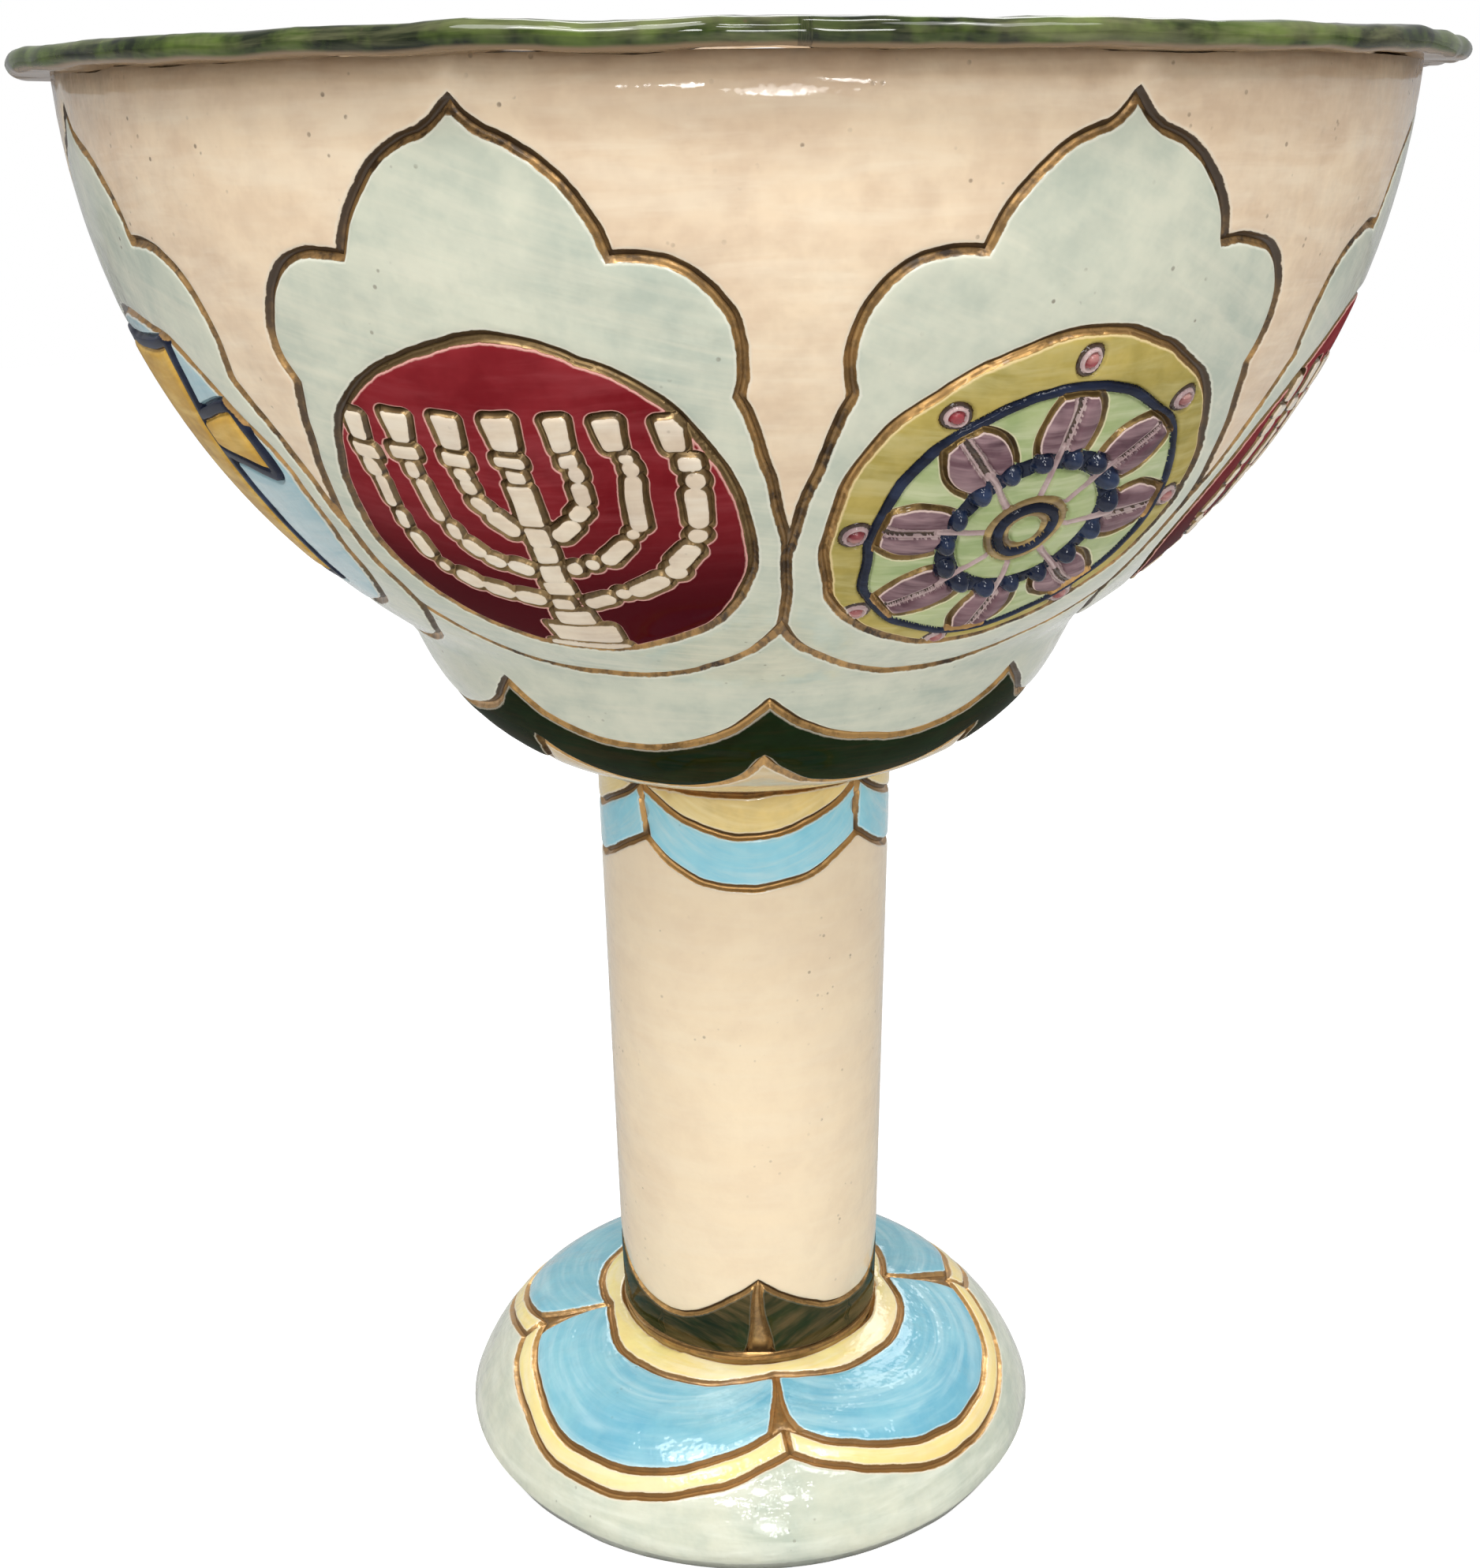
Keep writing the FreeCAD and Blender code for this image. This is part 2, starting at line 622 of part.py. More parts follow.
rimInner = f"sqrt(({{bowl_radius}} - {{bowl_wall}})^2 - {{rim_drop}}^2)"
rimNose = "({rim_thickness} / 2)"
rim = revolve(newBody("rim"), "rim_ring", [
    (rimInner, rimSeat, None),
    (f"{rimRadius} - {rimNose}", rimSeat, rimNose),
    (rimRadius, f"{rimSeat} + {rimNose}", rimNose),
    (f"{rimRadius} - {rimNose}", f"{rimSeat} + {{rim_thickness}}", None),
    (f"{rimInner} + {rimNose}", f"{rimSeat} + {{rim_thickness}}", None),
    (rimInner, f"{rimSeat} + {rimNose}", None),
])
keep(rim, "rim_lip")

# Stem, with swags and crescents round its top and leaves round its bottom

stemLength = f"({stemTop} - {stemFloor})"


def stemCone(name, depth):
    return cone(name, f"{{stem_bottom_radius}} - {depth}", f"{{stem_top_radius}} - {depth}",
                stemLength, stemFloor)


stemSolid = stemCone("stem_solid", "0")
stemSkin = cut("stem_skin", stemSolid, stemCone("stem_backing", inlayFloorDepth))
stemBed = cut("stem_bed", cylinder("stem_around", "{stem_top_radius} + {overrun}",
                                   stemLength, z=stemFloor),
              stemCone("stem_bed_floor", "{inlay_depth}"))
lowSwag = "{stem_height} - {swag_drop} + {swag_round}"
highSwag = f"{lowSwag} + {{swag_width}}"
swagField = frontRod("swag_field", f"{{swag_round}} - {halfGroove}", z=lowSwag)
quarter = wedge("quarter", quarterCount, halfGroove)
swagMaster = cut("swag_master", common("swag_blank", stemSkin, swagField, quarter),
                 frontRod("swag_above", f"{{swag_round}} + {halfGroove}", z=highSwag))
crescentMaster = common("crescent_master", stemSkin, quarter,
                        frontRod("crescent_field", f"{{swag_round}} - {halfGroove}",
                                 z=highSwag))
keepAll(turned("swag", [swagMaster], quarterCount, frontTurn), "stem_swag")
keepAll(turned("crescent", [crescentMaster], quarterCount, frontTurn), "stem_crescent")

leafCentre = f"({stemFloor} + {{leaf_dip}} + {{leaf_round}})"
leafMaster = cut("leaf_master", common("leaf_blank", stemSkin, quarter,
                                       cylinder("leaf_zone", farRadius,
                                                f"{leafCentre} - {stemFloor} - {{groove_width}}",
                                                z=f"{stemFloor} + {{groove_width}}")),
                 frontRod("leaf_above", f"{{leaf_round}} + {halfGroove}", z=leafCentre))
keepAll(turned("leaf", [leafMaster], quarterCount, cornerTurn), "stem_leaf")

swagRod = frontRod("swag_bed_rod", f"{{swag_round}} + {halfGroove}", z=lowSwag)
leafRod = frontRod("leaf_bed_rod", f"{{leaf_round}} - {halfGroove}", z=leafCentre)
swagBeds = common("swag_beds", stemBed, fused("swag_bed_rods", swagRod, quarterCount,
                                              frontTurn))
leafBeds = cut("leaf_beds",
               common("leaf_band", stemBed,
                      cylinder("leaf_bed_zone", farRadius, f"{leafCentre} - {stemFloor}",
                               z=stemFloor)),
               fused("leaf_bed_rods", leafRod, quarterCount, cornerTurn))
stem = cut("stem", stemSolid,
           cylinder("stem_bore", stemBore, f"{stemLength} + 2 * {{overrun}}",
                    z=f"{stemFloor} - {{overrun}}"), swagBeds, leafBeds)
keep(stem, "stem_tube")

# Bedding rings, top and bottom of the stem

for label, radius, z in (("upper_bedding", "{stem_top_radius}", stemTop),
                         ("lower_bedding", "{stem_bottom_radius}", "{foot_seat_height}")):
    disc = cylinder(f"{label}_disc", radius, "{bedding_thickness}", z=z)
    hole = cylinder(f"{label}_hole", stemBore, farHeight)
    keep(cut(f"{label}_ring", disc, hole), label)

# Foot: a dome with petals laid in it, hollow underneath, with a spigot for the stem

shoulderDrop = "({foot_shoulder_height} - {foot_edge_height})"
shoulderReach = "({foot_radius} - {foot_shoulder_radius})"
shoulderChord = f"sqrt({shoulderDrop}^2 + {shoulderReach}^2)"
shoulderBulge = ("({foot_shoulder_round} - sqrt({foot_shoulder_round}^2"
                 f" - {shoulderChord}^2 / 4))")
shoulderMiddle = (
    f"({{foot_radius}} - {shoulderReach} / 2 + {shoulderBulge} * {shoulderDrop} / {shoulderChord})",
    f"({{foot_edge_height}} + {shoulderDrop} / 2"
    f" + {shoulderBulge} * {shoulderReach} / {shoulderChord})")
footTop = [("{foot_shoulder_radius}", "{foot_shoulder_height}", None),
           ("{stem_bottom_radius}", "{foot_seat_height}", None),
           ("0", "{foot_seat_height}", None)]
dome = revolve(newBody("foot_dome"), "foot_round", [
    ("0", "0", None),
    ("{foot_ring_radius}", "0", "{foot_edge_round}"),
    ("{foot_radius}", "{foot_edge_height}", "{foot_shoulder_round}"),
    *footTop,
])
footForm = revolve(newBody("foot_form"), "foot_cones", [
    ("0", "0", None),
    ("{foot_radius}", "0", None),
    ("{foot_radius}", "{foot_edge_height}", None),
    (*shoulderMiddle, None),
    *footTop,
])


def lowered(name, depth):
    """The foot's form in cones, sunk by a depth: a bed's floor or the ceiling underneath."""
    copy = doc.addObject("Part::Compound", name)
    copy.Links = [footForm]
    return seat(copy, z=f"-({depth})")


def post(name, radius, y):
    return cylinder(name, radius, farHeight, y=f"-({y})")


def footLobes(name, grow):
    """The four-lobed outline round the stem."""
    lobe = post(f"{name}_lobe", f"{{lobe_radius}} + {grow}", "{lobe_offset}")
    return fused(name, lobe, quarterCount, frontTurn)


footSkin = cut("foot_skin", dome, lowered("foot_backing", inlayFloorDepth))
footPetal = cut("foot_petal_master",
                common("foot_petal_blank", footSkin, quarter,
                       post("foot_petal_post", f"{{foot_petal_radius}} - {halfGroove}",
                            "{foot_petal_offset}")),
                footLobes("petal_lobes", halfGroove))
footBorder = cut("foot_border_master",
                 common("foot_border_blank", footSkin, quarter,
                        post("foot_border_post", f"{{foot_border_radius}} - {halfGroove}",
                             "{foot_border_offset}")),
                 post("foot_border_inner", f"{{foot_petal_radius}} + {halfGroove}",
                      "{foot_petal_offset}"))
footRing = cut("foot_ring_master", common("foot_ring_blank", footSkin,
                                          footLobes("ring_lobes", f"-{halfGroove}")),
               cylinder("foot_ring_hole", f"{{stem_bottom_radius}} + {halfGroove}", farHeight))
keepAll(turned("foot_petal", [footPetal], quarterCount, footTurn), "foot_petal")
keepAll(turned("foot_border", [footBorder], quarterCount, footTurn), "foot_border")
keep(turned("foot_ring", [footRing], 1, footTurn)[0], "foot_inner_ring")

borderPost = post("foot_bed_post", f"{{foot_border_radius}} + {halfGroove}",
                  "{foot_border_offset}")
footBed = cut("foot_bed", fused("foot_bed_posts", borderPost, quarterCount, footTurn),
              lowered("foot_bed_floor", "{inlay_depth}"),
              cylinder("foot_seat_core", "{stem_bottom_radius}", farHeight))
footSpigot = cylinder("foot_spigot", spigotRadius, "{spigot_depth} + {foot_wall} / 2",
                      z="{foot_seat_height} - {foot_wall} / 2")
footRecess = common("foot_recess", lowered("foot_ceiling", "{foot_wall}"),
                    cylinder("foot_recess_zone", "{foot_ring_radius} - {foot_ring_width}",
                             farHeight, z="-{overrun}"))
footBore = cylinder("foot_bore", spigotBore, farHeight, z="-{overrun}")
keep(cut("foot", fuse("foot_and_spigot", [dome, footSpigot]), footRecess, footBore, footBed),
     "foot_dish")

# Check every object and write one file for each sub-part

doc.recompute()
faults = [item.Name for item in doc.Objects if {"Invalid", "Error"} & set(item.State)]
faults += [item.Label for item in subParts
           if item.Shape.isNull() or not item.Shape.isValid() or not item.Shape.Solids]
if faults:
    raise SystemExit("failed: " + ", ".join(faults))
os.makedirs("parts", exist_ok=True)
for item in subParts:
    item.Shape.exportStep(f"parts/{item.Label}.step")
print(len(subParts), "sub-parts written")
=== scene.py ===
from math import cos, pi, radians, sin, sqrt

import bmesh
import bpy
import numpy as np
from mathutils import Matrix, Vector
from mathutils.geometry import delaunay_2d_cdt


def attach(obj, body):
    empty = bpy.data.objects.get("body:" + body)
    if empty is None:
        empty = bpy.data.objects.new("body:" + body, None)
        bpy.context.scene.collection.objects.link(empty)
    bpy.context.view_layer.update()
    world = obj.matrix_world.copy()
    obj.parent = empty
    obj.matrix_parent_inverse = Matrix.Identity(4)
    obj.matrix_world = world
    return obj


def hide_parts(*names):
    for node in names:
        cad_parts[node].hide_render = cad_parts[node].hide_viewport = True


# An inlaid ceramic chalice. Lengths are millimetres until a mesh is made, which is in
# metres. An azimuth is an angle round the upright axis, 0 at the front (-Y) and
# growing towards +X.

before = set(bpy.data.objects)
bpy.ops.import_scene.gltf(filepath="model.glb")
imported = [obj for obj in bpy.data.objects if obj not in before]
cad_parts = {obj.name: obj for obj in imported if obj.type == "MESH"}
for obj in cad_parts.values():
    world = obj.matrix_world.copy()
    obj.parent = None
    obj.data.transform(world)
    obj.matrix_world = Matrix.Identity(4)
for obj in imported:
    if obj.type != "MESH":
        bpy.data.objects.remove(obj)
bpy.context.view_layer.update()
milli = 0.001
panelCount = 8
rng = np.random.default_rng(11)


# Turned and flat charts: a chart carries flat coordinates onto a curved surface

class TurnedChart:
    # Coordinates are the azimuth and q, the sum of ds / r up the section, which
    # keeps angles true: a length d on the surface is d / r in the chart.
    def __init__(self, r, z):
        self.r, self.z = r, z
        middle = (r[1:] + r[:-1]) / 2
        self.q = np.concatenate([[0], np.cumsum(np.hypot(np.diff(r), np.diff(z)) / middle)])
        slope = np.stack([np.gradient(r, self.q), np.gradient(z, self.q)])
        self.slope = slope / np.hypot(*slope)

    # The point at (azimuth, q) is (r sin, -r cos, z); the normal turns the slope outwards
    def place(self, flat):
        a, q = flat[:, 0], flat[:, 1]
        r, z = np.interp(q, self.q, self.r), np.interp(q, self.q, self.z)
        sr, sz = np.interp(q, self.q, self.slope[0]), np.interp(q, self.q, self.slope[1])
        long = np.hypot(sr, sz)
        sr, sz = sr / long, sz / long
        points = np.stack([r * np.sin(a), -r * np.cos(a), z], 1)
        normals = np.stack([sz * np.sin(a), -sz * np.cos(a), -sr], 1)
        return points, normals

    def scale(self, flat):
        return np.interp(flat[:, 1], self.q, self.r)

    # A move along the surface, split into its parts round the axis and up the section
    def shifted(self, flat, move):
        a, q = flat[:, 0], flat[:, 1]
        r = self.scale(flat)
        sr, sz = np.interp(q, self.q, self.slope[0]), np.interp(q, self.q, self.slope[1])
        around = move[:, 0] * np.cos(a) + move[:, 1] * np.sin(a)
        up = (move[:, 0] * np.sin(a) - move[:, 1] * np.cos(a)) * sr + move[:, 2] * sz
        return flat + np.stack([around / r, up / r], 1)

    def qAt(self, z):
        return np.interp(z, self.z, self.q)

    def flatten(self, points):
        a = np.arctan2(points[:, 0], -points[:, 1])
        return np.stack([a, self.qAt(points[:, 2])], 1)


class DiscChart:
    # Coordinates are u to the right and v upwards on the plane that touches the
    # basin at a panel's middle; the point lies straight behind them on the ball.
    def __init__(self, turn, tilt, radius, lift):
        c, s = cos(turn), sin(turn)
        self.u = np.array([c, s, 0])
        out = np.array([s * cos(tilt), -c * cos(tilt), -sin(tilt)])
        self.v = np.array([s * sin(tilt), -c * sin(tilt), cos(tilt)])
        self.out, self.radius, self.centre = out, radius, np.array([0, 0, lift])

    def place(self, flat):
        deep = np.sqrt(self.radius ** 2 - (flat ** 2).sum(1))
        normals = (flat[:, :1] * self.u + flat[:, 1:] * self.v + deep[:, None] * self.out)
        normals /= self.radius
        return self.centre + self.radius * normals, normals

    def scale(self, flat):
        return np.ones(len(flat))

    def shifted(self, flat, move):
        return flat + np.stack([move @ self.u, move @ self.v], 1)


# Section of the outside of the basin and its cup: the larger of the ball and the cup's
# round at each height, blended where they meet
wallSizes = {"ballRadius": 212.0, "ballLift": 509.97, "roundRadius": 78.1,
             "roundOffset": 41.4, "roundLift": 354.67, "foot": 277.5, "top": 505.3,
             "blend": 7.0, "panelTilt": radians(34.8), "cupWidest": 333.0,
             "cupRise": 55.5, "cupPoints": 260, "ballStart": 0.5, "ballPoints": 380}


def wallSection(w):
    low = np.linspace(0, 1, w["cupPoints"]) ** 2 * w["cupRise"] + w["foot"]
    z = np.concatenate([low, np.linspace(low[-1] + w["ballStart"], w["top"], w["ballPoints"])])
    ball = np.sqrt(np.maximum(w["ballRadius"] ** 2 - (z - w["ballLift"]) ** 2, 0))
    roundPart = w["roundRadius"] ** 2 - (z - w["roundLift"]) ** 2
    cup = w["roundOffset"] + np.sqrt(np.maximum(roundPart, 0))
    cup = np.where(roundPart > 0, cup, 0)
    near = np.clip(w["blend"] - np.abs(ball - cup), 0, None) / w["blend"]
    return np.maximum(ball, cup) + near ** 2 * w["blend"] / 4, z


# Section of the foot, from the ring that it stands on up to the stem: three arcs
footSizes = {"corners": [(107.5, 0.0), (112.0, 7.0), (84.0, 39.6), (49.3, 47.1)],
             "rounds": [8.5, 59.0, 9000.0], "points": 60}


# Points on the arc between two corners, with its centre on the left of the way
def arcPoints(a, b, radius, count):
    a, b = np.array(a), np.array(b)
    half = (b - a) / 2
    away = np.array([-half[1], half[0]]) / np.hypot(*half)
    centre = a + half + away * sqrt(radius ** 2 - half @ half)
    first, last = np.arctan2(*(a - centre)[::-1]), np.arctan2(*(b - centre)[::-1])
    angle = np.linspace(first, last, count)
    return centre + radius * np.stack([np.cos(angle), np.sin(angle)], 1)


# The arcs of the foot in one run, each between two corners
def footSection(f):
    parts = [arcPoints(a, b, radius, f["points"])[:-1] for a, b, radius
             in zip(f["corners"][:-1], f["corners"][1:], f["rounds"])]
    line = np.concatenate(parts + [np.array([f["corners"][-1]])])
    return line[:, 0], line[:, 1]


wallChart = TurnedChart(*wallSection(wallSizes))
stemSizes = {"low": 44.4, "high": 276.0, "lowRadius": 50.2, "highRadius": 53.4,
             "points": 200}
stemLine = np.linspace(0, 1, stemSizes["points"])
stemChart = TurnedChart(stemSizes["lowRadius"] + stemLine
                        * (stemSizes["highRadius"] - stemSizes["lowRadius"]),
                        stemSizes["low"] + stemLine * (stemSizes["high"] - stemSizes["low"]))
footChart = TurnedChart(*footSection(footSizes))


# Azimuth of a panel's middle
def panelTurn(number):
    return (number - 0.5) * 2 * pi / panelCount


def discChart(number):
    return DiscChart(panelTurn(number), wallSizes["panelTilt"], wallSizes["ballRadius"],
                     wallSizes["ballLift"])


# Hand-cut lines: a smooth push sideways that depends only on the place, so that the
# fields on both sides of a line get the same push. Each wave is a sine of the place
# along a random direction.
handSizes = {"reach": [0.55, 0.22, 0.06], "wave": [46.0, 19.0, 7.0], "waves": 5,
             "spread": (0.8, 1.25), "gain": 1.4}


def makeWaves(h):
    rows = []
    for reach, wave in zip(h["reach"], h["wave"]):
        for axis in np.eye(3).repeat(h["waves"], axis=0):
            way = rng.normal(size=3)
            way *= 2 * pi / wave / np.linalg.norm(way) * rng.uniform(*h["spread"])
            rows.append(np.concatenate([way, [rng.uniform(0, 2 * pi)], axis * reach
                                        * h["gain"] / sqrt(h["waves"])]))
    return np.array(rows)


handWaves = makeWaves(handSizes)


# Sum over the waves of reach x sin(way . place + phase)
def handPush(points):
    return np.sin(points @ handWaves[:, :3].T + handWaves[:, 3]) @ handWaves[:, 4:]


def handCut(chart, flat):
    return chart.shifted(flat, handPush(chart.place(flat)[0]))


# Evenly spaced points on a run of corners, both ends kept
def resampled(line, chart, step):
    places = chart.place(line)[0]
    run = np.concatenate([[0], np.cumsum(np.linalg.norm(np.diff(places, axis=0), axis=1))])
    count = max(2, int(round(run[-1] / step)) + 1)
    at = np.linspace(0, run[-1], count)
    return np.stack([np.interp(at, run, line[:, 0]), np.interp(at, run, line[:, 1])], 1)


# Start and end in space of every stretch of the lines
def segmentsOf(chart, lines):
    pieces = []
    for line in lines:
        places = chart.place(line)[0]
        pieces.append(np.stack([places[:-1], places[1:]], 1))
    return np.concatenate(pieces)


# Points are worked on in blocks, to save memory, and nothing is divided by less than tiny
distanceBlock, insideBlock, tiny = 300, 2000, 1e-12


# Shortest way from each point to any of the segments
def distanceTo(points, segments):
    start, way = segments[:, 0], segments[:, 1] - segments[:, 0]
    long = (way ** 2).sum(1) + tiny
    result = np.empty(len(points))
    for first in range(0, len(points), distanceBlock):
        last = first + distanceBlock
        off = points[first:last, None] - start
        along = np.clip((off * way).sum(2) / long, 0, 1)
        off -= along[..., None] * way
        result[first:last] = np.sqrt((off ** 2).sum(2).min(1))
    return result


# A point is inside when a ray to the right crosses the loops an odd number of times
def insideOf(points, loops):
    start = np.concatenate(loops)
    end = np.concatenate([np.roll(loop, -1, axis=0) for loop in loops])
    result = np.empty(len(points), bool)
    rise = end[:, 1] - start[:, 1]
    rise = np.where(np.abs(rise) < tiny, tiny, rise)
    for first in range(0, len(points), insideBlock):
        last = first + insideBlock
        p = points[first:last, None]
        between = (start[:, 1] > p[..., 1]) != (end[:, 1] > p[..., 1])
        cross = start[:, 0] + (p[..., 1] - start[:, 1]) / rise * (end[:, 0] - start[:, 0])
        result[first:last] = (between & (p[..., 0] < cross)).sum(1) % 2 == 1
    return result


# A triangular grid over the loops: every second row is half a step aside
def evenGrid(loops, step):
    low = np.min([loop.min(0) for loop in loops], axis=0)
    high = np.max([loop.max(0) for loop in loops], axis=0)
    xs = np.arange(low[0], high[0], step)
    ys = np.arange(low[1], high[1], step * sqrt(0.75))
    gx, gy = np.meshgrid(xs, ys)
    gx = gx + (np.arange(len(ys)) % 2)[:, None] * step / 2
    return np.stack([gx.ravel(), gy.ravel()], 1)


# Keep one point of each small cell
def thinned(points, cell):
    keys = np.floor(points / cell).astype(np.int64)
    return points[np.unique(keys, axis=0, return_index=True)[1]]


# Points beside the lines, at a distance on both sides
def besideLines(chart, lines, distance):
    rows = []
    for line in lines:
        way = np.gradient(line, axis=0)
        way /= np.linalg.norm(way, axis=1)[:, None]
        side = np.stack([-way[:, 1], way[:, 0]], 1) / chart.scale(line)[:, None]
        rows += [line + side * distance, line - side * distance]
    return np.concatenate(rows)


def closed(line):
    return np.concatenate([line, line[:1]])


# Triangles of a region: its loops are kept as edges, and the rest is Delaunay
def triangulate(loops, inner):
    points = np.concatenate(loops + [inner])
    edges, first = [], 0
    for loop in loops:
        ring = np.arange(first, first + len(loop))
        edges += np.stack([ring, np.roll(ring, -1)], 1).tolist()
        first += len(loop)
    made = delaunay_2d_cdt([Vector(p) for p in points], edges, [], 0, 1e-9)
    flat = np.array([v[:] for v in made[0]], float)
    faces = np.array(made[2])
    if len(flat) == len(points):
        flat = np.where(np.abs(flat - points) < 1e-5, points, flat)
    keep = insideOf(flat[faces].mean(1), loops)
    faces = faces[keep]
    a, b, c = flat[faces[:, 0]], flat[faces[:, 1]], flat[faces[:, 2]]
    area = (b[:, 0] - a[:, 0]) * (c[:, 1] - a[:, 1]) - (b[:, 1] - a[:, 1]) * (c[:, 0] - a[:, 0])
    faces[area < 0] = faces[area < 0][:, ::-1]
    used, back = np.unique(faces, return_inverse=True)
    return flat[used], back.reshape(faces.shape)


# Depth under the surface at a distance from the middle of a groove: a round channel,
# a quick rise to the glaze's edge and a soft shoulder. Rows of points lie at the same
# distances, kept where no other line is nearer than rowSlack (fixed, share) allows.
grooveSizes = {"half": 1.25, "wall": 1.45, "beyond": 9.0,
               "rows": [0.45, 0.85, 1.15, 1.4, 1.75, 2.3, 3.2, 4.4], "middle": 1.8,
               "depths": [1.68, 1.25, 0.72, 0.36, 0.19, 0.08, 0.02, 0.0],
               "rowSlack": (0.06, 0.02), "rowStep": 0.5, "gap": 0.35, "draws": 900,
               "thickness": 1.6}


def grooveDepth(distance, half):
    g = grooveSizes
    return np.interp(distance / half * g["half"], [0] + g["rows"], [g["middle"]] + g["depths"])


# Close a skin into a thin solid: the same triangles again behind it, and a wall
# round every open edge
def closedShell(points, normals, faces, thickness):
    count = len(points)
    back = points - normals * thickness
    edges = np.concatenate([faces[:, [0, 1]], faces[:, [1, 2]], faces[:, [2, 0]]])
    keys = edges[:, 0].astype(np.int64) * count + edges[:, 1]
    mirror = edges[:, 1].astype(np.int64) * count + edges[:, 0]
    rim = edges[~np.isin(keys, mirror)]
    wall = np.stack([rim[:, 1], rim[:, 0], rim[:, 0] + count], 1)
    wall2 = np.stack([rim[:, 1], rim[:, 0] + count, rim[:, 1] + count], 1)
    solid = np.concatenate([faces, faces[:, ::-1] + count, wall, wall2])
    return np.concatenate([points, back]), solid, len(faces)


def addObject(name, data):
    made = bpy.data.objects.new(name, data)
    bpy.context.scene.collection.objects.link(made)
    return made


# A mesh with its materials and point attributes. With the normals of the plain skin as
# base, tilt says how far the carved skin leans upwards along the plain one.
def makePiece(name, points, faces, smoothCount, used, nodes, attributes,
              slots=None, weld=False, base=None):
    mesh = bpy.data.meshes.new(name)
    mesh.from_pydata((points * milli).tolist(), [], faces.tolist())
    smooth = np.zeros(len(faces), bool)
    smooth[:smoothCount] = True
    mesh.polygons.foreach_set("use_smooth", smooth)
    for look in used:
        mesh.materials.append(materials[look])
    if slots is not None:
        mesh.polygons.foreach_set("material_index", slots.astype(np.int32))
    for label, values in attributes.items():
        kind = "FLOAT" if values.ndim == 1 else "FLOAT_VECTOR"
        layer = mesh.attributes.new(label, kind, "POINT")
        layer.data.foreach_set("value" if values.ndim == 1 else "vector",
                               values.astype(np.float32).ravel())
    mesh.update()
    if base is not None:
        carved = np.empty(len(points) * 3, np.float32)
        mesh.vertex_normals.foreach_get("vector", carved)
        carved = carved.reshape(-1, 3)
        # The groove shader paints its light and shade from tilt: gold where a wall leans up, umber
        # where it leans down
        tilt = carved[:, 2] - base[:, 2] * (carved * base).sum(1)
        mesh.attributes.new("tilt", "FLOAT", "POINT").data.foreach_set(
            "value", tilt.astype(np.float32))
    if weld:
        work = bmesh.new()
        work.from_mesh(mesh)
        bmesh.ops.remove_doubles(work, verts=work.verts, dist=2e-6)
        work.to_mesh(mesh)
        work.free()
    piece = addObject(name, mesh)
    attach(piece, "root")
    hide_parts(*nodes)
    return piece


# One glazed field. Loops bound it, lines are the middles of the grooves beside it, and
# the depth under the surface depends on the distance to the nearest line.
def makeField(name, chart, loops, lines, look, slotName, nodes, step=6.5, brush=None,
              half=None, near=None, weld=False):
    g = grooveSizes
    half = half or g["wall"]
    wide = half / g["half"]
    segments = segmentsOf(chart, near or lines)
    rows = []
    for distance in g["rows"] if lines else []:
        row = besideLines(chart, lines, distance * wide)
        row = row[insideOf(row, loops)]
        off = distanceTo(chart.place(row)[0], segments)
        slack = g["rowSlack"][0] + g["rowSlack"][1] * distance
        row = row[np.abs(off - distance * wide) < slack]
        rows.append(thinned(row, g["rowStep"] / chart.scale(row).mean()) if len(row) else row)
    across = chart.scale(np.concatenate(loops)).mean()
    grid = evenGrid(loops, step / across)
    grid = grid[insideOf(grid, loops)]
    edge = segmentsOf(chart, [closed(loop) for loop in loops])
    away = distanceTo(chart.place(grid)[0], np.concatenate([segments, edge]))
    grid = grid[away > g["rows"][-1] * wide + step * g["gap"]]
    inner = np.concatenate(rows + [grid])
    inner = inner[distanceTo(chart.place(inner)[0], edge) > g["gap"]]
    flat, faces = triangulate(loops, inner)
    points, normals = chart.place(flat)
    distance = distanceTo(points, segments)
    points = points - normals * grooveDepth(distance, half)[:, None]
    solid, solidFaces, count = closedShell(points, normals, faces, g["thickness"])
    stroke = brush(flat, chart) if brush else np.stack(
        [flat[:, 0] * chart.scale(flat), flat[:, 1] * chart.scale(flat).mean()], 1)
    own = np.full((len(stroke), 1), rng.uniform(0, g["draws"]))
    stroke = np.concatenate([stroke, own], 1)
    values = {"edge": np.tile(distance / half, 2), "stroke": np.tile(stroke, (2, 1)) * milli}
    makePiece(name, solid, solidFaces, count, [look], nodes, values, weld=weld,
              base=np.tile(normals, (2, 1)))


# Shader nodes

def addNode(tree, kind, **values):
    made = tree.nodes.new(kind)
    for name, value in values.items():
        setattr(made, name, value)
    return made


def link(tree, source, target):
    tree.links.new(source, target)


# Every socket gets its value, by a link where the value is another node's socket
def fill(tree, sockets, values):
    for socket, value in zip(sockets, values):
        if hasattr(value, "links"):
            link(tree, value, socket)
        else:
            socket.default_value = value


def mixColour(tree, factor, first, second):
    made = addNode(tree, "ShaderNodeMix", data_type="RGBA")
    fill(tree, (made.inputs[0], made.inputs[6], made.inputs[7]), (factor, first, second))
    return made.outputs[2]


def mathNode(tree, operation, *values):
    made = addNode(tree, "ShaderNodeMath", operation=operation)
    fill(tree, made.inputs, values)
    return made.outputs[0]


def times(tree, first, second):
    return mathNode(tree, "MULTIPLY", first, second)


# first x second + third
def timesPlus(tree, first, second, third):
    return mathNode(tree, "MULTIPLY_ADD", first, second, third)


# A smooth step between two levels of the value, from 0 to 1 if nothing else is given
def ramped(tree, value, *levels):
    made = addNode(tree, "ShaderNodeMapRange", interpolation_type="SMOOTHSTEP")
    fill(tree, made.inputs, (value,) + levels)
    return made.outputs[0]


